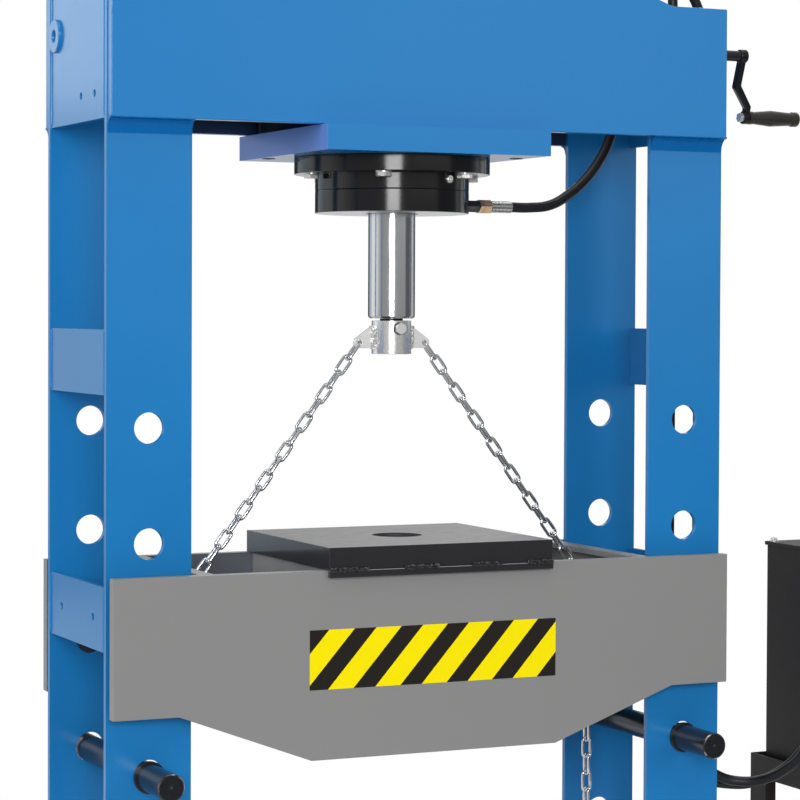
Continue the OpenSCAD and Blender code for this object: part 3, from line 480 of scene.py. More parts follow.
gland = soften(ring_of(128, [
    (rod_bore, spigot_top), (rod_bore, wiper_top), (wiper_radius, wiper_top), (wiper_radius, gland_bottom),
    (body_radius, gland_bottom), (body_radius, body_bottom), (spigot_radius, body_bottom),
    (spigot_radius, spigot_top), (rod_bore, spigot_top)], bored=True), 0.0016)
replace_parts(gather("gland_ring", [gland], gland_paint, "carriage", 35), "cylinder_gland")
rubber = enamel("black_rubber", (0.012, 0.012, 0.012), 0.55, 0.3, 0.2)
dress(rubber, "seal_rubber", "rod_wiper")

bolt_circle, bolt_flats, head_height, bolt_washer = 0.1675, 0.026, 0.010, 0.0027
flange_heads = []
for i in range(6):
    bolt_turn = i * math.pi / 3
    spot = Matrix.Translation((bolt_circle * math.cos(bolt_turn), bolt_circle * math.sin(bolt_turn), flange_bottom))
    washer = ring_of(40, [(0.0150, 0.0), (0.0150, -0.0022), (0.0145, -bolt_washer), (0.0120, -bolt_washer)])
    settle(washer, spot)
    head = hexagon(bolt_flats, head_height - bolt_washer)
    settle(head, spot @ Matrix.Translation((0, 0, -head_height)) @ Matrix.Rotation(0.35 + i * 0.4, 4, "Z"))
    shank = ring_of(32, [(0.008, 0.058), (0.008, -0.004)])
    settle(shank, spot)
    flange_heads += [washer, head, shank]
bolts = gather("flange_bolt_set", flange_heads, zinc, "carriage", 30)
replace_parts(bolts, "flange_bolts")


def toward_x(x, y, z):
    """Lays a piece made along Z down along +X at a point."""
    return Matrix.Translation((x, y, z)) @ Matrix.Rotation(math.pi / 2, 4, "Y")


plug_turn, plug_height = math.radians(-68), 1.657
plug = ring_of(24, [(0.0075, -0.004), (0.0075, 0.0035), (0.0065, 0.0045), (0.0036, 0.0045), (0.0034, 0.0015)])
settle(plug, Matrix.Rotation(plug_turn, 4, "Z") @ toward_x(body_radius, 0, plug_height))
gather("bleed_plug", [plug], zinc, "carriage", 30)

# Hose fittings: a black adapter in the gland's port, a yellow-passivated union nut and a crimped ferrule;
# an elbow with the same nut and ferrule on the cylinder's cap.
passivate_tone = (0.66, 0.46, 0.29)
yellow_zinc = metal("yellow_passivate", passivate_tone, 0.30, 0.0, (1, 1, 1))
fitting_steel = metal("ferrule_steel", (0.58, 0.58, 0.57), 0.30, 0.0, (1, 1, 1), spread=0.03)


def ferrule(length, radius=0.012):
    """Sleeve over the hose's end, pressed in by four shallow crimps."""
    steps, pressed = [(radius * 0.86, 0), (radius, 0.0015)], radius * 0.985
    for k in range(4):
        at = 0.008 + k * (length - 0.016) / 4
        steps += [(radius, at), (pressed, at + 0.0012), (pressed, at + 0.0042), (radius, at + 0.0054)]
    steps += [(radius, length - 0.0015), (radius * 0.90, length)]
    return ring_of(40, steps)


def fitting_row(name, x, z, black_length, nut_length, ferrule_length, node):
    """Adapter, union nut and ferrule, one behind the other along X."""
    adapter = hexagon(0.022, black_length)
    settle(adapter, toward_x(x, 0, z))
    neck = ring_of(32, [(0.009, -0.014), (0.009, 0.001)])
    settle(neck, toward_x(x, 0, z))
    black_part = gather(name + "_adapter", [adapter, neck], dark_steel, "carriage", 30)
    nut = hexagon(0.0255, nut_length)
    settle(nut, toward_x(x + black_length, 0, z))
    gather(name + "_nut", [nut], yellow_zinc, "carriage", 30)
    sleeve = ferrule(ferrule_length)
    settle(sleeve, toward_x(x + black_length + nut_length, 0, z))
    gather(name + "_ferrule", [sleeve], fitting_steel, "carriage", 30)
    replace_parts(black_part, node)


fitting_row("gland_fitting", 0.1495, 1.6125, 0.034, 0.026, 0.046, "lower_fitting")
elbow_metal, sockets, shade = start_finish("elbow_nut_and_ferrule")
elbow_nut_x, elbow_ferrule_x = 0.0150, 0.0600
nut_on = shade.along("X").step(elbow_nut_x - 0.0002, elbow_nut_x + 0.0002)
ferrule_on = shade.along("X").step(elbow_ferrule_x - 0.0002, elbow_ferrule_x + 0.0002)
black_then_yellow = nut_on.colours((0.09, 0.09, 0.095, 1), (*passivate_tone, 1))
ferrule_on.colours(black_then_yellow, (0.52, 0.53, 0.54, 1)).into(sockets["Base Color"])
sockets["Metallic"].default_value = 1.0
shade.noise(90.0, 5.0).step(0.25, 0.8, 0.26, 0.44).into(sockets["Roughness"])
dress(elbow_metal, "bright_steel", "upper_fitting")
ease_edges(0.0010, "upper_fitting")

# Ram: a hard-chromed bar, ground along its length, with a chamfered end and a turned spigot.
# The piston and its rings are plain turned steel inside the barrel.
chrome, sockets, shade = start_finish("hard_chrome_and_shaded_spigot")
rod_end = 1.3939
# The spigot is painted near black: painted shade for the narrow gap between the collar and the rod's end.
spigot_painted_shade = shade.along("Z").step(rod_end - 0.0003, rod_end + 0.0003, 1.0, 0.0)
spigot_painted_shade.colours((0.68, 0.69, 0.70, 1), (0.05, 0.05, 0.052, 1)).into(sockets["Base Color"])
sockets["Metallic"].default_value = 1.0
sockets["Specular Tint"].default_value = (0.1, 0.1, 0.1, 1)
ground = shade.noise(90.0, 5.0, (8, 8, 0.25)).step(0.25, 0.8, 0.11, 0.20)
(ground + spigot_painted_shade * 0.25).into(sockets["Roughness"])
dress(chrome, "ram_chrome", "ram_rod")
turned_steel = metal("turned_steel", (0.55, 0.56, 0.57), 0.32, 0.05, (1, 1, 30))
dress(turned_steel, "bright_steel", "piston")
ease_edges(0.0008, "piston")

# Collar: a bright turned ring on the spigot, held by one hexagon bolt on a washer painted near black as a painted
# shadow round its head. An ear of flat bar with a satin face is welded to each side by a coarse bead,
# and has an eye for the chain's first link.
collar_radius, bolt_height = 0.038, 1.3755
collar_low, collar_high, spigot = 1.3265, 1.3905, 0.0222
collar_ring = soften(ring_of(96, [
    (collar_radius, collar_low), (collar_radius, collar_high), (spigot, collar_high),
    (spigot, collar_low + 0.0138)]), 0.0012)


def plate_of(outline, thickness):
    """Flat bar cut to an outline of (x, z) points, extruded along Y about y = 0."""
    bpy.ops.mesh.primitive_circle_add(vertices=len(outline), fill_type="NGON")
    bar = bpy.context.object
    for vertex, (x, z) in zip(bar.data.vertices, outline):
        vertex.co = (x, -thickness / 2, z)
    bpy.ops.object.mode_set(mode="EDIT")
    bpy.ops.mesh.select_all(action="SELECT")
    bpy.ops.mesh.extrude_region_move(TRANSFORM_OT_translate={"value": (0, thickness, 0)})
    bpy.ops.mesh.select_all(action="SELECT")
    bpy.ops.mesh.normals_make_consistent(inside=False)
    bpy.ops.object.mode_set(mode="OBJECT")
    return bar


collar_zinc, sockets, shade = start_finish("turned_ring_satin_ears")
from_ram = shade.along("X").reach(shade.along("Y"))
on_ear = from_ram.step(collar_radius + 0.0003, collar_radius + 0.0008)
sockets["Base Color"].default_value = (0.83, 0.83, 0.82, 1)
sockets["Specular Tint"].default_value = (0.1, 0.1, 0.1, 1)
on_ear.step(0, 1, 0.78, 0.45).into(sockets["Metallic"])
turned = shade.noise(90.0, 5.0, (8, 8, 0.25)).step(0.25, 0.8, 0.18, 0.30)
(turned + on_ear * 0.15).into(sockets["Roughness"])


def toward_front(x, y, z):
    """Turns a piece made along Z to the front, -Y, at a point."""
    return Matrix.Translation((x, y, z)) @ Matrix.Rotation(math.pi / 2, 4, "X")


ear_x, ear_z, ear_thick, ear_round, eye = 0.068, 1.3485, 0.008, 0.011, 0.0045
ear_root, ear_top = 0.032, collar_high - 0.009
collar_parts = [collar_ring]
for side in (-1, 1):
    tip = [(ear_x + ear_round * math.cos(a), ear_z + ear_round * math.sin(a))
           for a in (math.radians(d) for d in range(-90, 61, 15))]
    outline = [(ear_root, ear_z - 0.0105)] + tip + [(0.040, ear_top), (ear_root, ear_top)]
    bar = plate_of([(side * x, z) for x, z in outline], ear_thick)
    drill = ring_of(24, [(eye, -0.01), (eye, 0.01)])
    settle(drill, toward_front(side * ear_x, 0, ear_z))
    hole = bar.modifiers.new("eye", "BOOLEAN")
    hole.operation, hole.object = "DIFFERENCE", drill
    bpy.context.view_layer.objects.active = bar
    bpy.ops.object.modifier_apply(modifier="eye")
    bpy.data.objects.remove(drill)
    collar_parts.append(soften(bar, 0.0008))
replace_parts(gather("chain_collar_and_ears", collar_parts, collar_zinc, "ram", 35), "chain_collar")
bolt_seat, washer_thick = -collar_radius - 0.001, 0.0014
bolt_zinc, sockets, shade = start_finish("zinc_bolt_painted_shadow_washer")
# The washer is painted near black: a painted shadow round the bolt's head.
washer_painted_shadow = shade.along("Y").step(bolt_seat - washer_thick - 0.0004, bolt_seat - washer_thick - 0.0002)
washer_painted_shadow.colours((0.72, 0.72, 0.71, 1), (0.09, 0.09, 0.09, 1)).into(sockets["Base Color"])
sockets["Metallic"].default_value = 0.5
sockets["Roughness"].default_value = 0.36
set_washer = ring_of(40, [(0.0124, -0.004), (0.0124, 0.0008), (0.0119, washer_thick)])
set_head, set_shank = hexagon(0.020, 0.008 - washer_thick), ring_of(24, [(0.006, -0.016), (0.006, 0.002)])
for part, out in ((set_washer, 0), (set_head, washer_thick), (set_shank, 0)):
    settle(part, toward_front(0, bolt_seat - out, bolt_height))
set_bolt = gather("collar_set_bolt", [set_head, set_washer, set_shank], bolt_zinc, "ram", 30)
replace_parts(set_bolt, "collar_bolt")
bead_x, bead_y, bead_low, bead_high, under_x, under_z = 0.0395, 0.0045, 1.3415, 1.3800, 0.0390, 1.3390
ear_beads = []
for side in (-1, 1):
    for y in (-bead_y, bead_y):
        ear_beads.append(weld_run((side * bead_x, y, bead_low), (side * bead_x, y, bead_high), 0.0060, 1.22, 0.35))
    ear_beads.append(weld_run((side * under_x, -0.004, under_z), (side * under_x, 0.004, under_z),
                              0.0046, 1.2, 0.3))
gather("ear_welds", ear_beads, zinc, "ram")

# Chains: electrically welded long-link chain in bright zinc, from each ear of the collar down to a slot in
# the bed's end, with the spare links hanging free below; every link has its weld upset on one side.
wire, link_pitch, link_gap, link_slack = 0.006, 0.034, 0.011, 0.0003
bend = (link_gap + wire) / 2
link_half = (link_pitch + wire) / 2
link_step = link_pitch - link_slack
chain_metal = metal("chain_zinc_plate", (0.78, 0.79, 0.80), 0.13, 0.0, (1, 1, 1), 0.95, 0.03, 0.05)
bpy.ops.mesh.primitive_torus_add(major_segments=28, minor_segments=12, major_radius=bend, minor_radius=wire / 2)
link = bpy.context.object
bpy.ops.object.mode_set(mode="EDIT")
for sign in (1, -1):
    bpy.ops.mesh.select_all(action="DESELECT")
    bpy.ops.object.mode_set(mode="OBJECT")
    for v in link.data.vertices:
        v.select = v.co.y * sign > 1e-5
    bpy.ops.object.mode_set(mode="EDIT")
    bpy.ops.transform.translate(value=(0, sign * (link_half - bend), 0))
bpy.ops.mesh.select_all(action="DESELECT")
bpy.ops.object.mode_set(mode="OBJECT")
for v in link.data.vertices:
    v.select = abs(v.co.y) < 1e-5 and v.co.x > 0
bpy.ops.object.mode_set(mode="EDIT")
bpy.ops.transform.resize(value=(1.16, 1, 1.16), center_override=(bend, 0, 0))
bpy.ops.mesh.bevel(offset=0.0022, offset_type="OFFSET", segments=2, affect="EDGES")
bpy.ops.object.mode_set(mode="OBJECT")
link.rotation_euler = (math.pi / 2, 0, 0)
bpy.ops.object.transform_apply(rotation=True)


def chain_of(name, places, body):
    """A row of copies of the link, each turned a quarter round from the one before."""
    copies = []
    for i, place in enumerate(places):
        copy = link.copy()
        copy.data = link.data.copy()
        bpy.context.scene.collection.objects.link(copy)
        settle(copy, place @ Matrix.Rotation(math.pi / 2 if i % 2 == 0 else 0, 4, "Z"))
        copies.append(copy)
    return gather(name, copies, chain_metal, body, 60)


channel_x, slot_in, bed_top, slot_drop, tail_links = 0.450, 0.015, 0.9375, 0.078, 15
ear = Vector((ear_x, 0, ear_z))
aim = Vector((channel_x - slot_in, 0, bed_top - slot_drop)) - ear
pull = aim.normalized()
lean = math.atan2(pull.x, -pull.z)
links = 2 * int(aim.length / (2 * link_step))
hook = ear + pull * ((links - 1) * link_step + 2 * link_half - wire - link_slack)
for side, name in ((-1, "left"), (1, "right")):
    rows = []
    for i in range(links):
        at = ear + pull * (link_half + i * link_step)
        rows.append(Matrix.Translation((side * at.x, 0, at.z)) @ Matrix.Rotation(-side * lean, 4, "Y"))
    chain = chain_of("chain_" + name + "_links", rows, None)
    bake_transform(chain)
    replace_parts(chain, "chain_" + name)
    rows = [Matrix.Translation((side * hook.x, 0, hook.z - link_half - i * link_step)) for i in range(tail_links)]
    tail = chain_of("chain_tail_" + name + "_links", rows, "bed")
    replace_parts(tail, "chain_tail_" + name)
bpy.data.objects.remove(link)

# Bed: two deep plates outside the uprights joined by end channels and ribs, in satin grey enamel.
# The front plate carries a band of black and yellow tape.
# The bed plates' inner faces get a dark bluish grey: painted shade for the space between them.
grey_tone, bed_painted_shade, bed_inner_face = (0.216, 0.216, 0.214), (0.09, 0.10, 0.12), 0.1855
grey = enamel("grey_enamel", grey_tone, 0.42, 0.12, 0.08)
bed_paint = paint_with_shaded_inside("grey_outside_painted_shade_inside", grey_tone, bed_painted_shade, bed_inner_face, 0.40, 0.5)
bed_plates, bed_inside = ["bed_front_plate", "bed_rear_plate"], ["bed_end_left", "bed_end_right", "bed_ribs"]
dress(bed_paint, "grey_paint", *bed_plates)
dress(grey, "grey_paint", *bed_inside)
ease_edges(0.0012, *bed_plates, *bed_inside)
bed_front, tape_thick = -0.2075, 0.00035
tape_left, tape_right, tape_bottom, tape_top = -0.255, 0.249, 0.721, 0.830
bpy.ops.mesh.primitive_plane_add(size=1)
tape = bpy.context.object
tape.scale = (tape_right - tape_left, tape_top - tape_bottom, 1)
tape.location = ((tape_left + tape_right) / 2, bed_front, (tape_bottom + tape_top) / 2)
tape.rotation_euler = (math.pi / 2, 0, 0)
bpy.ops.object.transform_apply(location=True, rotation=True, scale=True)
bpy.ops.object.mode_set(mode="EDIT")
bpy.ops.mesh.select_all(action="SELECT")
bpy.ops.mesh.bevel(offset=0.0015, segments=3, affect="VERTICES")
bpy.ops.mesh.select_all(action="SELECT")
bpy.ops.mesh.extrude_region_move(TRANSFORM_OT_translate={"value": (0, -tape_thick, 0)})
bpy.ops.mesh.select_all(action="SELECT")
bpy.ops.mesh.normals_make_consistent(inside=False)
bpy.ops.object.mode_set(mode="OBJECT")
stripes, sockets, shade = start_finish("black_and_yellow_tape")
stripe_pitch, stripe_start, yellow_share, slant = 0.0943, 0.2193, 0.5377, 0.886
run = shade.along("X") - (shade.along("Z") - tape_bottom) * slant
phase = run.math("FRACT", (run + stripe_start + 20 * stripe_pitch) * (1 / stripe_pitch))
yellow = phase.step(0.0, 0.006) * phase.step(yellow_share, yellow_share + 0.006, 1.0, 0.0)
scuff = shade.noise(60.0, 4.0).step(0.45, 0.8, 0.0, 0.12)
worn_yellow = scuff.colours((0.84, 0.70, 0.002, 1), (0.72, 0.60, 0.01, 1))
yellow.colours((0.018, 0.016, 0.013, 1), worn_yellow).into(sockets["Base Color"])
(scuff + 0.40).into(sockets["Roughness"])
sockets["Specular IOR Level"].default_value = 0.06
tape.data.materials.append(stripes)
gather("hazard_tape", [tape], None, "bed", 30)

# Platen: a thick black plate with a bore, laid on the bed and kept by a strip under its front edge.
# The strip is stitched on by four short coarse welds, painted over in black, and its ledge is painted light grey,
# a painted highlight where light from above falls on it.
platen_low, platen_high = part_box("platen")
strip_low, strip_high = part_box("platen_strips")
platen_black, sockets, shade = start_finish("platen_black")
height, platen_bore = shade.along("Z"), 0.0480
scuffed = height.step(platen_high.z - 0.0008, platen_high.z - 0.0002)
on_ledge = shade.along("Y").step(platen_low.y - 0.0008, platen_low.y - 0.0004, 1.0, 0.0)
# The ledge is painted light grey: a painted highlight where light from above falls on it.
ledge_painted_highlight = on_ledge * height.step(strip_high.z - 0.0010, strip_high.z - 0.0006)
ledge_painted_highlight.colours((0.024, 0.024, 0.027, 1), (0.30, 0.30, 0.31, 1)).into(sockets["Base Color"])
off_x = shade.along("X") - (platen_low.x + platen_high.x) / 2
off_y = shade.along("Y") - (platen_low.y + platen_high.y) / 2
in_bore = off_x.reach(off_y).step(platen_bore - 0.0003, platen_bore, 1.0, 0.0)
gloss = shade.noise(38.0, 4.0).step(0.35, 0.75, 0.13, 0.17)
(gloss + scuffed * 0.18 + in_bore * 0.5).into(sockets["Roughness"])
shade.noise(300.0, 3.0).bump(0.05, 0.0004).into(sockets["Normal"])
dress(platen_black, "black_paint", "platen", "platen_strips")
ease_edges(0.0012, "platen", "platen_strips")
stitch_black = enamel("stitch_black", (0.012, 0.012, 0.013), 0.20, 0.05, 0.25, 0.5)
stitches = []
for start, length in ((0.001, 0.075), (0.149, 0.070), (0.287, 0.062), (0.404, 0.053)):
    left = Vector((strip_low.x + start, platen_low.y - 0.0012, strip_high.z + 0.0012))
    stitches.append(weld_run(left, left + Vector((length, 0, 0)), 0.0052, 1.16, 0.32))
gather("platen_stitches", stitches, stitch_black, "bed", 60)

# Bed pins: turned bars of blackened steel with a centre hole at each end and a locating ring;
# the blacking has rubbed off the chamfers.
pin_steel, sockets, shade = start_finish("blackened_steel")
pin_radius, pin_ring, pin_edge, pin_x = 0.025, 0.029, 0.002, 0.55
pin_low, pin_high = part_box("pin_left")
pin_half, pin_level = pin_high.y, (pin_low.z + pin_high.z) / 2
from_axis = (abs(shade.along("X")) - pin_x).reach(shade.along("Z") - pin_level)
at_end = abs(shade.along("Y")).step(pin_half - pin_edge - 0.0006, pin_half - pin_edge)
at_rim = from_axis.step(pin_radius - pin_edge - 0.0004, pin_radius - pin_edge)
rubbed = at_end * at_rim * shade.noise(70.0).step(0.48, 0.60)
rubbed.colours((0.012, 0.013, 0.016, 1), (0.46, 0.39, 0.34, 1)).into(sockets["Base Color"])
(rubbed * 0.8).into(sockets["Metallic"])
shade.noise(90.0, 5.0, (1, 30, 1)).step(0.25, 0.8, 0.16, 0.26).into(sockets["Roughness"])
ring_near, ring_far, centre_hole, hole_point = 0.1725, 0.1805, 0.0045, 0.0002
for side, name in ((-1, "left"), (1, "right")):
    bar = ring_of(64, [
        (hole_point, -pin_half + pin_edge), (centre_hole, -pin_half), (pin_radius - pin_edge, -pin_half),
        (pin_radius, -pin_half + pin_edge), (pin_radius, pin_half - pin_edge),
        (pin_radius - pin_edge, pin_half), (centre_hole, pin_half), (hole_point, pin_half - pin_edge)])
    ring = ring_of(64, [(pin_radius - 0.0005, ring_near), (pin_ring, ring_near), (pin_ring, ring_far),
                        (pin_radius - 0.0005, ring_far)])
    for part in (soften(bar, 0.0005), soften(ring, 0.0008)):
        settle(part, toward_front(side * pin_x, 0, pin_level))
    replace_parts(gather("bed_pin_" + name, [bar, ring], pin_steel, "frame", 35), "pin_" + name)

# Crank and lead screw: a bright rolled screw across the beam in a brass nut, black where it leaves its bush,
# and a crank forged from one bar, painted black, whose turned plastic grip spins on a bolt.
screw_steel, sockets, shade = start_finish("rolled_thread")
thread_lead, bush_end, crank_tone = 0.010, 0.6340, (0.008, 0.008, 0.010)
thread = shade.math("PINGPONG", shade.along("X") * (2 / thread_lead) + 400.0, 1.0)
outside = shade.along("X").step(bush_end, bush_end + 0.0004)
# The thread's grooves are painted darker than its crests: painted shade in the grooves.
thread_painted_groove_shade = thread.colours((0.16, 0.16, 0.16, 1), (0.58, 0.58, 0.60, 1))
outside.colours(thread_painted_groove_shade, (*crank_tone, 1)).into(sockets["Base Color"])
(1.0 - outside).into(sockets["Metallic"])
sockets["Roughness"].default_value = 0.34
(thread * (1.0 - outside)).bump(0.7, 0.002).into(sockets["Normal"])
dress(screw_steel, "bright_steel", "lead_screw")
brass = metal("turned_brass", (0.62, 0.45, 0.16), 0.28, 0.05, (1, 1, 1))
dress(brass, "nut_brass", "drive_nut")
crank_black = enamel("crank_black", crank_tone, 0.30, 0.06, 0.25, 0.35)
arm_root, arm_turn, screw_y, screw_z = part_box("crank_arm")[0].x, math.radians(20), -0.127, 1.916
arm_wide, hub_radius, boss_radius, bolt_hole = 0.017, 0.0135, 0.013, 0.0053
eye_drop, eye_in, eye_out = -0.125, 0.0325, 0.0455
forging = soften(plate_of([
    (-0.001, 0.004), (0.012, 0.004), (0.012, -0.058), (0.0445, -0.100), (0.0445, eye_drop), (0.0335, eye_drop),
    (0.0335, -0.108), (-0.001, -0.066)], arm_wide), 0.003, 3)
hub = soften(ring_of(48, [(hub_radius, -0.004), (hub_radius, 0.0135)]), 0.003, 3)
settle(hub, toward_x(0, 0, 0))
eye_boss = soften(ring_of(48, [(boss_radius, eye_in), (boss_radius, eye_out)]), 0.0015)
settle(eye_boss, toward_x(0, 0, eye_drop))
drill = ring_of(32, [(bolt_hole, 0.020), (bolt_hole, 0.060)])
settle(drill, toward_x(0, 0, eye_drop))
for part, how in ((hub, "UNION"), (eye_boss, "UNION"), (drill, "DIFFERENCE")):
    cut = forging.modifiers.new("cut", "BOOLEAN")
    cut.operation, cut.object = how, part
    bpy.context.view_layer.objects.active = forging
    bpy.ops.object.modifier_apply(modifier="cut")
    bpy.data.objects.remove(part)
settle(forging, Matrix.Translation((arm_root, screw_y, screw_z)) @ Matrix.Rotation(arm_turn, 4, "X"))
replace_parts(gather("crank_forging", [forging], crank_black, "screw", 35), "crank_arm")
dress(zinc, "bright_steel", "crank_bolt")
ease_edges(0.0006, "crank_bolt")
grip_plastic = enamel("grip_plastic", (0.027, 0.024, 0.020), 0.34, 0.05, 0.2, 0.4)
dress(grip_plastic, "black_plastic", "grip")

# Power unit: a folded tank in a tray on angle legs, sprayed black, with a finned motor, filler and valve.
# Its lid is screwed down; a level glass and a drain plug sit in the tank's front.
unit_black = enamel("unit_black", (0.0180, 0.0145, 0.0130), 0.42, 0.12, 0.2, 0.18)
unit_parts = ["unit_stand", "tank", "tank_lid"]
dress(unit_black, "black_paint", *unit_parts)
ease_edges(0.0014, *unit_parts)
motor_grey = enamel("motor_grey", (0.060, 0.062, 0.066), 0.45, 0.18, 0.15)
dress(motor_grey, "black_paint", "motor")
dress(grip_plastic, "black_plastic", "filler_cap", "valve_lever")
dress(turned_steel, "bright_steel", "valve_block")
ease_edges(0.0010, "valve_block", "filler_cap")
lid_low, lid_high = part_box("tank_lid")
screw_in, screw_third = 0.014, 0.126
tank_screws = []
for x in (lid_low.x + screw_in, lid_low.x + screw_third, lid_high.x - screw_third, lid_high.x - screw_in):
    for y in (lid_low.y + screw_in, lid_high.y - screw_in):
        washer = ring_of(24, [(0.0095, 0), (0.0095, 0.0012), (0.0088, 0.0016)])
        head = hexagon(0.013, 0.0055)
        settle(washer, Matrix.Translation((x, y, lid_high.z)))
        settle(head, Matrix.Translation((x, y, lid_high.z + 0.0016)) @ Matrix.Rotation(x * 40 + y * 9, 4, "Z"))
        tank_screws += [washer, head]
valve_low, valve_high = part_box("valve_block")
block_top, valve_screw_in = valve_high.z - 0.026, 0.009
for x in (0.943, 1.009):
    for y in (valve_low.y + valve_screw_in, valve_high.y - valve_screw_in):
        cap_screw = ring_of(24, [(0.0065, 0), (0.0065, 0.0055), (0.0060, 0.006), (0.0035, 0.006), (0.0033, 0.003)])
        settle(cap_screw, Matrix.Translation((x, y, block_top)))
        tank_screws.append(cap_screw)
tank_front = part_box("tank")[0].y
drain_x, drain_z, drain_washer = 1.090, 0.515, 0.0025
plug_washer, plug_head = ring_of(32, [(0.0165, 0), (0.0165, drain_washer)]), hexagon(0.024, 0.012)
settle(plug_washer, toward_front(drain_x, tank_front, drain_z))
settle(plug_head, toward_front(drain_x, tank_front - drain_washer, drain_z))
glass_x, glass_z, mount_thick = 1.215, 0.690, 0.008
mount = soften(plate_of([(-0.016, -0.080), (0.016, -0.080), (0.016, 0.080), (-0.016, 0.080)], mount_thick), 0.0020)
settle(mount, Matrix.Translation((glass_x, tank_front - mount_thick / 2, glass_z)))
tank_screws += [plug_washer, plug_head, mount]
for z in (-0.062, 0.062):
    head = hexagon(0.019, 0.009)
    settle(head, toward_front(glass_x, tank_front - mount_thick, glass_z + z))
    tank_screws.append(head)
gather("unit_screws", tank_screws, zinc, "frame", 30)
amber = enamel("oil_in_glass", (0.42, 0.20, 0.03), 0.08, 0.0, 0.1, 0.6)
tube = soften(ring_of(32, [(0.0075, -0.046), (0.0075, 0.046)]), 0.003, 3)
settle(tube, Matrix.Translation((glass_x, tank_front - 0.0095, glass_z)))
gather("level_glass", [tube], amber, "frame", 40)
filler_ribs = []
filler_low, filler_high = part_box("filler_cap")
filler_middle = (filler_low + filler_high) / 2
rib_count, rib_circle, rib_foot = 24, 0.0316, lid_high.z + 0.0155
for k in range(rib_count):
    turn = k * math.tau / rib_count
    rib = ring_of(8, [(0.0016, 0), (0.0026, 0.002), (0.0026, 0.024), (0.0012, 0.026)])
    rib_out = Vector((rib_circle * math.cos(turn), rib_circle * math.sin(turn)))
    settle(rib, Matrix.Translation((filler_middle.x + rib_out.x, filler_middle.y + rib_out.y, rib_foot)))
    filler_ribs.append(rib)
gather("filler_ribs", filler_ribs, grip_plastic, "frame", 40)

# Motor fittings: a guard of flat rings and spokes over the fan, and a screwed lid on the terminal box
# with a cable gland in its side.
motor_low, motor_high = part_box("motor")
motor_x, motor_y = (motor_low.x + motor_high.x) / 2, motor_high.y - (motor_high.x - motor_low.x) / 2
guard_foot, box_z, box_half, cable_z = motor_high.z - 0.0004, 1.033, 0.046, 1.020
guard = []
for radius in (0.022, 0.044, 0.066):
    hoop = soften(ring_of(64, [(radius - 0.002, 0), (radius + 0.002, 0), (radius + 0.002, 0.004),
                               (radius - 0.002, 0.004), (radius - 0.002, 0)], bored=True), 0.0008)
    settle(hoop, Matrix.Translation((motor_x, motor_y, guard_foot)))
    guard.append(hoop)
for k in range(6):
    spoke = soften(plate_of([(0.004, 0), (0.074, 0), (0.074, 0.003), (0.004, 0.003)], 0.005), 0.0008)
    settle(spoke, Matrix.Translation((motor_x, motor_y, guard_foot)) @ Matrix.Rotation(k * math.pi / 3, 4, "Z"))
    guard.append(spoke)
box_lid = soften(plate_of([(-box_half, -box_half), (box_half, -box_half), (box_half, box_half),
                           (-box_half, box_half)], 0.006), 0.0025)
settle(box_lid, Matrix.Translation((motor_x, motor_low.y - 0.002, box_z)))
gland_nut, gland_dome = hexagon(0.024, 0.012), ring_of(32, [(0.0105, 0.012), (0.0100, 0.018), (0.0070, 0.022)])
for part in (gland_nut, gland_dome):
    settle(part, toward_x(motor_x + 0.045, motor_low.y + 0.028, cable_z))
gather("motor_fittings", guard + [box_lid, gland_nut, gland_dome], motor_grey, "frame", 30)
box_screws = []
for x in (-0.038, 0.038):
    for z in (-0.038, 0.038):
        pan = ring_of(24, [(0.0045, 0), (0.0045, 0.0012), (0.0030, 0.0026)])
        settle(pan, toward_front(motor_x + x, motor_low.y - 0.005, box_z + z))
        box_screws.append(pan)
gather("terminal_screws", box_screws, zinc, "frame", 30)

# Gauge: a pressed black case with a rolled bezel, a white dial with printed black divisions, and a pointer.
# Its hexagon stem screws into the valve block.
gauge_low, gauge_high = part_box("gauge")
gauge_x, gauge_z = (gauge_low.x + gauge_high.x) / 2, gauge_high.z - 0.0315
case_back, dial_in, dial_radius = gauge_low.y + 0.026, 0.0225, 0.0285
stem_y = case_back - 0.010
gauge_case = ring_of(64, [(0.0280, 0), (0.0295, 0.002), (0.0295, 0.019), (0.0315, 0.020), (0.0315, 0.0255),
                          (0.0305, 0.026), (0.0290, 0.026), (dial_radius, 0.0255), (dial_radius, dial_in)])
settle(gauge_case, toward_front(gauge_x, case_back, gauge_z))
stem, stem_nut = ring_of(24, [(0.006, 0.0), (0.006, 0.034)]), hexagon(0.017, 0.012)
for part, up in ((stem, 0.0), (stem_nut, 0.008)):
    settle(part, Matrix.Translation((gauge_x, stem_y, gauge_low.z + up)))
gauge_face, sockets, shade = start_finish("gauge_case_and_dial")
beside, over = shade.along("X") - gauge_x, shade.along("Z") - gauge_z
out_from = beside.reach(over)
on_dial = out_from.step(dial_radius - 0.0003, dial_radius - 0.0001, 1.0, 0.0) \
    * shade.along("Y").step(case_back - dial_in + 0.0004, case_back - dial_in + 0.0008, 1.0, 0.0)
bearing = beside.math("ARCTAN2", beside, over)
division_count, scale_end = 32, 2.40
division = bearing.math("FRACT", bearing * (division_count / math.tau) + 40.5)
tick = division.step(0.40, 0.44) * division.step(0.56, 0.60, 1.0, 0.0) \
    * out_from.step(0.0205, 0.0208) * out_from.step(0.0255, 0.0258, 1.0, 0.0) \
    * abs(bearing).step(scale_end, scale_end + 0.02, 1.0, 0.0)
printed = tick.colours((0.80, 0.80, 0.78, 1), (0.01, 0.01, 0.01, 1))
on_dial.colours((0.020, 0.020, 0.022, 1), printed).into(sockets["Base Color"])
sockets["Roughness"].default_value = 0.3
gauge = gather("pressure_gauge", [gauge_case, stem, stem_nut], gauge_face, "frame", 30)
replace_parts(gauge, "gauge")
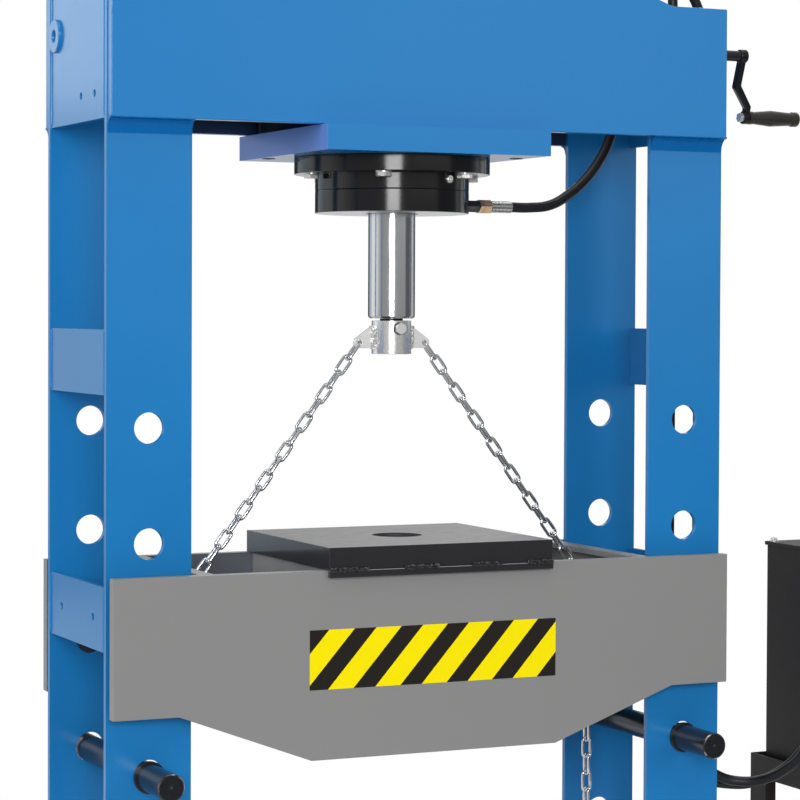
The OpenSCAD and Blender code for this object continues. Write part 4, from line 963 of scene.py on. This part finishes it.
needle = plate_of([(-0.0011, -0.006), (0.0011, -0.006), (0.0004, 0.021), (-0.0004, 0.021)], 0.0008)
at_zero = Matrix.Rotation(-2.35, 4, "Y")
settle(needle, Matrix.Translation((gauge_x, case_back - dial_in - 0.0012, gauge_z)) @ at_zero)
pivot = ring_of(24, [(0.0028, 0), (0.0028, 0.0014), (0.0016, 0.0020)])
settle(pivot, toward_front(gauge_x, case_back - dial_in, gauge_z))
gather("gauge_pointer", [needle, pivot], grip_plastic, "frame", 30)

# Hoses: black rubber pressure hose, 20 mm over its cover, from each fitting over the beam's end and down the
# right upright, one outside and one inside its battens, then in a low bow across to the valve.
hose_radius, loop_level, loop_still_x = 0.0100, 1.9, 0.57
hose_rubber, sockets, shade = start_finish("hose_cover")
wrap = shade.noise(260.0, 3.0)
wrap.step(0.3, 0.7).colours((0.006, 0.006, 0.007, 1), (0.011, 0.011, 0.012, 1)).into(sockets["Base Color"])
sockets["Specular IOR Level"].default_value = 0.35
wrap.step(0.3, 0.7, 0.36, 0.48).into(sockets["Roughness"])
wrap.bump(0.25, 0.0004).into(sockets["Normal"])


def hose(name, points, bodies, node):
    """A round hose through its route's points; between two bodies it is left fixed where it lies, or it rides on
    one body.
    """
    bpy.ops.curve.primitive_bezier_curve_add()
    line = bpy.context.object
    spline = line.data.splines[0]
    spline.bezier_points.add(len(points) - 2)
    for knot, point in zip(spline.bezier_points, points):
        knot.co = Vector(point) / 1000
        knot.handle_left_type = knot.handle_right_type = "AUTO"
    line.data.resolution_u = 10
    line.data.bevel_resolution = 5
    line.data.use_fill_caps = True
    trace = line.copy()
    trace.data = line.data.copy()
    bpy.context.scene.collection.objects.link(trace)
    line.data.bevel_depth = hose_radius
    for thing in (trace, line):
        bpy.ops.object.select_all(action="DESELECT")
        thing.select_set(True)
        bpy.context.view_layer.objects.active = thing
        bpy.ops.object.convert(target="MESH")
    bpy.data.objects.remove(trace)
    tube = gather(name, [line], hose_rubber, None, 60)
    if len(bodies) == 2:
        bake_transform(tube)
    else:
        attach(tube, bodies[0])
    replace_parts(tube, node)


hose("gland_hose", [
    (255.5, 0, 1612.5), (295, 0, 1612.5), (345, 2, 1619), (390, 6, 1642), (428, 9, 1672), (460, 12, 1710),
    (484, 15, 1752), (500, 17, 1804), (506, 18, 1870), (507, 18, 1950), (509, 15, 2020), (516, 4, 2058),
    (533, -20, 2084), (558, -46, 2092), (587, -64, 2078), (612, -72, 2050), (634, -73, 2014), (645, -69, 1985),
    (646, -64, 1940), (646, -64, 1880),
], ("carriage", "frame"), "hose_lower_loop")
hose("cap_hose", [
    (120, 0, 2070.5), (175, 0, 2070.5), (240, -2, 2084.5), (310, -4, 2118), (380, -8, 2144), (450, -14, 2156),
    (516, -22, 2150), (566, -30, 2118), (592, -36, 2066), (598, -38, 2000), (598, -38, 1880),
], ("carriage", "frame"), "hose_upper_loop")
hose("gland_hose_run", [
    (646, -64, 1880), (646, -64, 700), (646, -64, 600), (651, -64, 540), (668, -64, 499), (698, -66, 475),
    (740, -82, 463), (777, -116, 471), (800, -158, 496), (812, -200, 534), (815, -232, 600), (812, -252, 690),
    (806, -263, 790), (801, -263, 888), (811, -263, 930), (834, -263, 956), (858, -263, 968), (878, -263, 968),
], ("frame",), "hose_lower_run")
hose("cap_hose_run", [
    (598, -38, 1880), (598, -38, 690), (600, -38, 610), (611, -38, 542), (638, -38, 494), (680, -38, 466),
    (730, -46, 453), (776, -68, 455), (814, -107, 480), (838, -160, 532), (847, -218, 606), (840, -273, 700),
    (819, -311, 796), (802, -311, 888), (811, -311, 930), (834, -311, 956), (858, -311, 968), (878, -311, 968),
], ("frame",), "hose_upper_run")

# Hose clips: a steel band round each hose at the upper two battens, on a packing block under a hexagon screw;
# the inner hose is clipped to the battens' inside and the outer one to their outside.
band_in, band_out, band_half = hose_radius + 0.0001, hose_radius + 0.0024, 0.008
clips = []
for x, y, face_x in ((0.646, -0.064, 0.628), (0.598, -0.038, 0.618)):
    out = 1 if x > face_x else -1
    block = abs(x - face_x) - hose_radius - 0.0022
    for z in (0.860, 1.316):
        band = soften(ring_of(40, [
            (band_in, -band_half), (band_out, -band_half), (band_out, band_half), (band_in, band_half),
            (band_in, -band_half)], bored=True), 0.0006)
        settle(band, Matrix.Translation((x, y, z)))
        foot = soften(plate_of([(-0.034, -band_half), (0.006, -band_half), (0.006, band_half),
                                (-0.034, band_half)], block), 0.0008)
        settle(foot, Matrix.Translation((face_x + out * block / 2, y, z)) @ Matrix.Rotation(math.pi / 2, 4, "Z"))
        screw = hexagon(0.013, 0.0055)
        settle(screw, Matrix.Translation((face_x + out * block, y - 0.023, z))
               @ Matrix.Rotation(out * math.pi / 2, 4, "Y"))
        clips += [band, foot, screw]
gather("hose_clips", clips, zinc, "frame", 30)

# Floor and light: a pale sweep that fades into white, a large soft lamp to each side, fills in front and above.
# The white behind is seen by the lens and by mirror-like faces, and gives the press little light of its own.
floor_radius, floor_fade, shaded_sky = 2.4, (1.5, 2.38), 0.30
bpy.ops.mesh.primitive_circle_add(vertices=96, radius=floor_radius, fill_type="NGON", location=(0.3, 0, 0))
floor = bpy.context.object
floor.name = "floor"
floor_paper, floor_sockets, shade = start_finish("floor_paper")
floor_sockets["Base Color"].default_value = (0.86, 0.86, 0.86, 1)
floor_sockets["Roughness"].default_value = 0.8
from_middle = shade.node("ShaderNodeVectorMath", {"operation": "LENGTH"}, {0: shade.place()}, out="Value")
from_middle.step(*floor_fade, 1.0, 0.0).into(floor_sockets["Alpha"])
floor.data.materials.append(floor_paper)
floor.select_set(False)

world = bpy.data.worlds.new("white_room")
bpy.context.scene.world = world
world.use_nodes = True
sky = world.node_tree.nodes["Background"]
rays = Shade(world.node_tree).node("ShaderNodeLightPath")
seen = [Shade(world.node_tree, rays.socket.node.outputs[n])
        for n in ("Is Camera Ray", "Is Glossy Ray", "Is Transmission Ray")]
white = seen[0].math("MAXIMUM", seen[0], seen[1].math("MAXIMUM", seen[1], seen[2]))
side_of_room = Shade(world.node_tree).node("ShaderNodeTexCoord", out="Generated")
rearward = side_of_room.node("ShaderNodeSeparateXYZ", sockets={0: side_of_room}, out="Y").step(-0.25, 0.35)
in_mirrors = rearward * 0.65 + 0.35
seen_white = seen[0] + (1.0 - seen[0]) * in_mirrors
(white * seen_white + (1.0 - white) * shaded_sky).into(sky.inputs["Strength"])
sky.inputs["Color"].default_value = (1, 1, 1, 1)


def soft_lamp(name, place, aim, size, watts, mirrored=True):
    """A wide lamp aimed at a point; glossy faces mirror it only where that is asked for."""
    lamp = bpy.data.lights.new(name, "AREA")
    lamp.shape = "RECTANGLE"
    lamp.size, lamp.size_y = size
    lamp.energy = watts
    holder = bpy.data.objects.new(name, lamp)
    bpy.context.scene.collection.objects.link(holder)
    holder.location = place
    holder.visible_glossy = mirrored
    holder.rotation_euler = (Vector(aim) - Vector(place)).to_track_quat("-Z", "Y").to_euler()


soft_lamp("key", (-6.4, -1.6, 2.8), (0, 0, 1.3), (2.4, 2.6), 190, False)
soft_lamp("front", (-2.8, -6.8, 2.7), (0.3, 0, 1.2), (2.4, 2.6), 272)
soft_lamp("fill", (3.0, -5.6, 2.6), (0.4, 0, 1.3), (2.4, 2.4), 65, False)
soft_lamp("right", (6.2, -0.3, 2.6), (0.4, 0, 1.2), (2.4, 2.6), 110, False)
soft_lamp("top", (0.2, -0.6, 4.6), (0.2, 0, 1.0), (3.0, 3.0), 60)
soft_lamp("back", (2.6, 4.6, 3.0), (0.2, 0, 1.2), (2.4, 2.4), 70)


def grey_card(name, place, aim, size, tone, tint=(1, 1, 1)):
    """A card beside the set that only mirror-like faces show, so that they keep dark edges."""
    bpy.ops.mesh.primitive_plane_add(size=1)
    card = bpy.context.object
    card.name = name
    settle(card, Matrix.LocRotScale(Vector(place), (Vector(aim) - Vector(place)).to_track_quat("Z", "Y"),
                                    Vector((size[0], size[1], 1))))
    paper, sockets, shade = start_finish(name + "_paper")
    sockets["Base Color"].default_value = (0, 0, 0, 1)
    sockets["Specular IOR Level"].default_value = 0.0
    sockets["Emission Color"].default_value = darker(tint, tone)
    sockets["Emission Strength"].default_value = 1.0
    card.data.materials.append(paper)
    card.visible_camera = card.visible_diffuse = card.visible_shadow = False
    card.select_set(False)


rear_y, cool, plain = 4.2, (0.80, 0.92, 1.05), (1, 1, 1)
for name, x, z, wide, tall, tone in (
        ("rear_left_low", -2.3, 0.11, 2.8, 0.62, 0.85), ("rear_left_gap", -2.3, 0.475, 2.8, 0.11, 0.05),
        ("rear_left", -2.3, 1.315, 2.8, 1.57, 0.85),
        ("rear_left_high", -2.3, 2.75, 2.8, 1.3, 1.9), ("rear_dark", 0.0, 1.6, 1.8, 3.2, 0.05),
        ("rear_pale", 1.9, 1.6, 2.0, 3.2, 0.75), ("rear_right", 4.7, 1.6, 3.6, 3.2, 0.05)):
    grey_card(name, (x, rear_y, z), (x, 0, z), (wide, tall), tone, cool if x < -1 else plain)
grey_card("right_card", (3.6, -1.6, 1.4), (0.2, 0, 1.3), (2.6, 2.8), 0.12)
grey_card("front_low", (2.6, -5.2, -0.2), (2.6, 0, -0.2), (5.0, 2.6), 0.04)
grey_card("front_high", (2.6, -5.2, 2.6), (2.6, 0, 2.6), (5.0, 1.4), 0.62)

bpy.context.scene.view_settings.view_transform = "Standard"
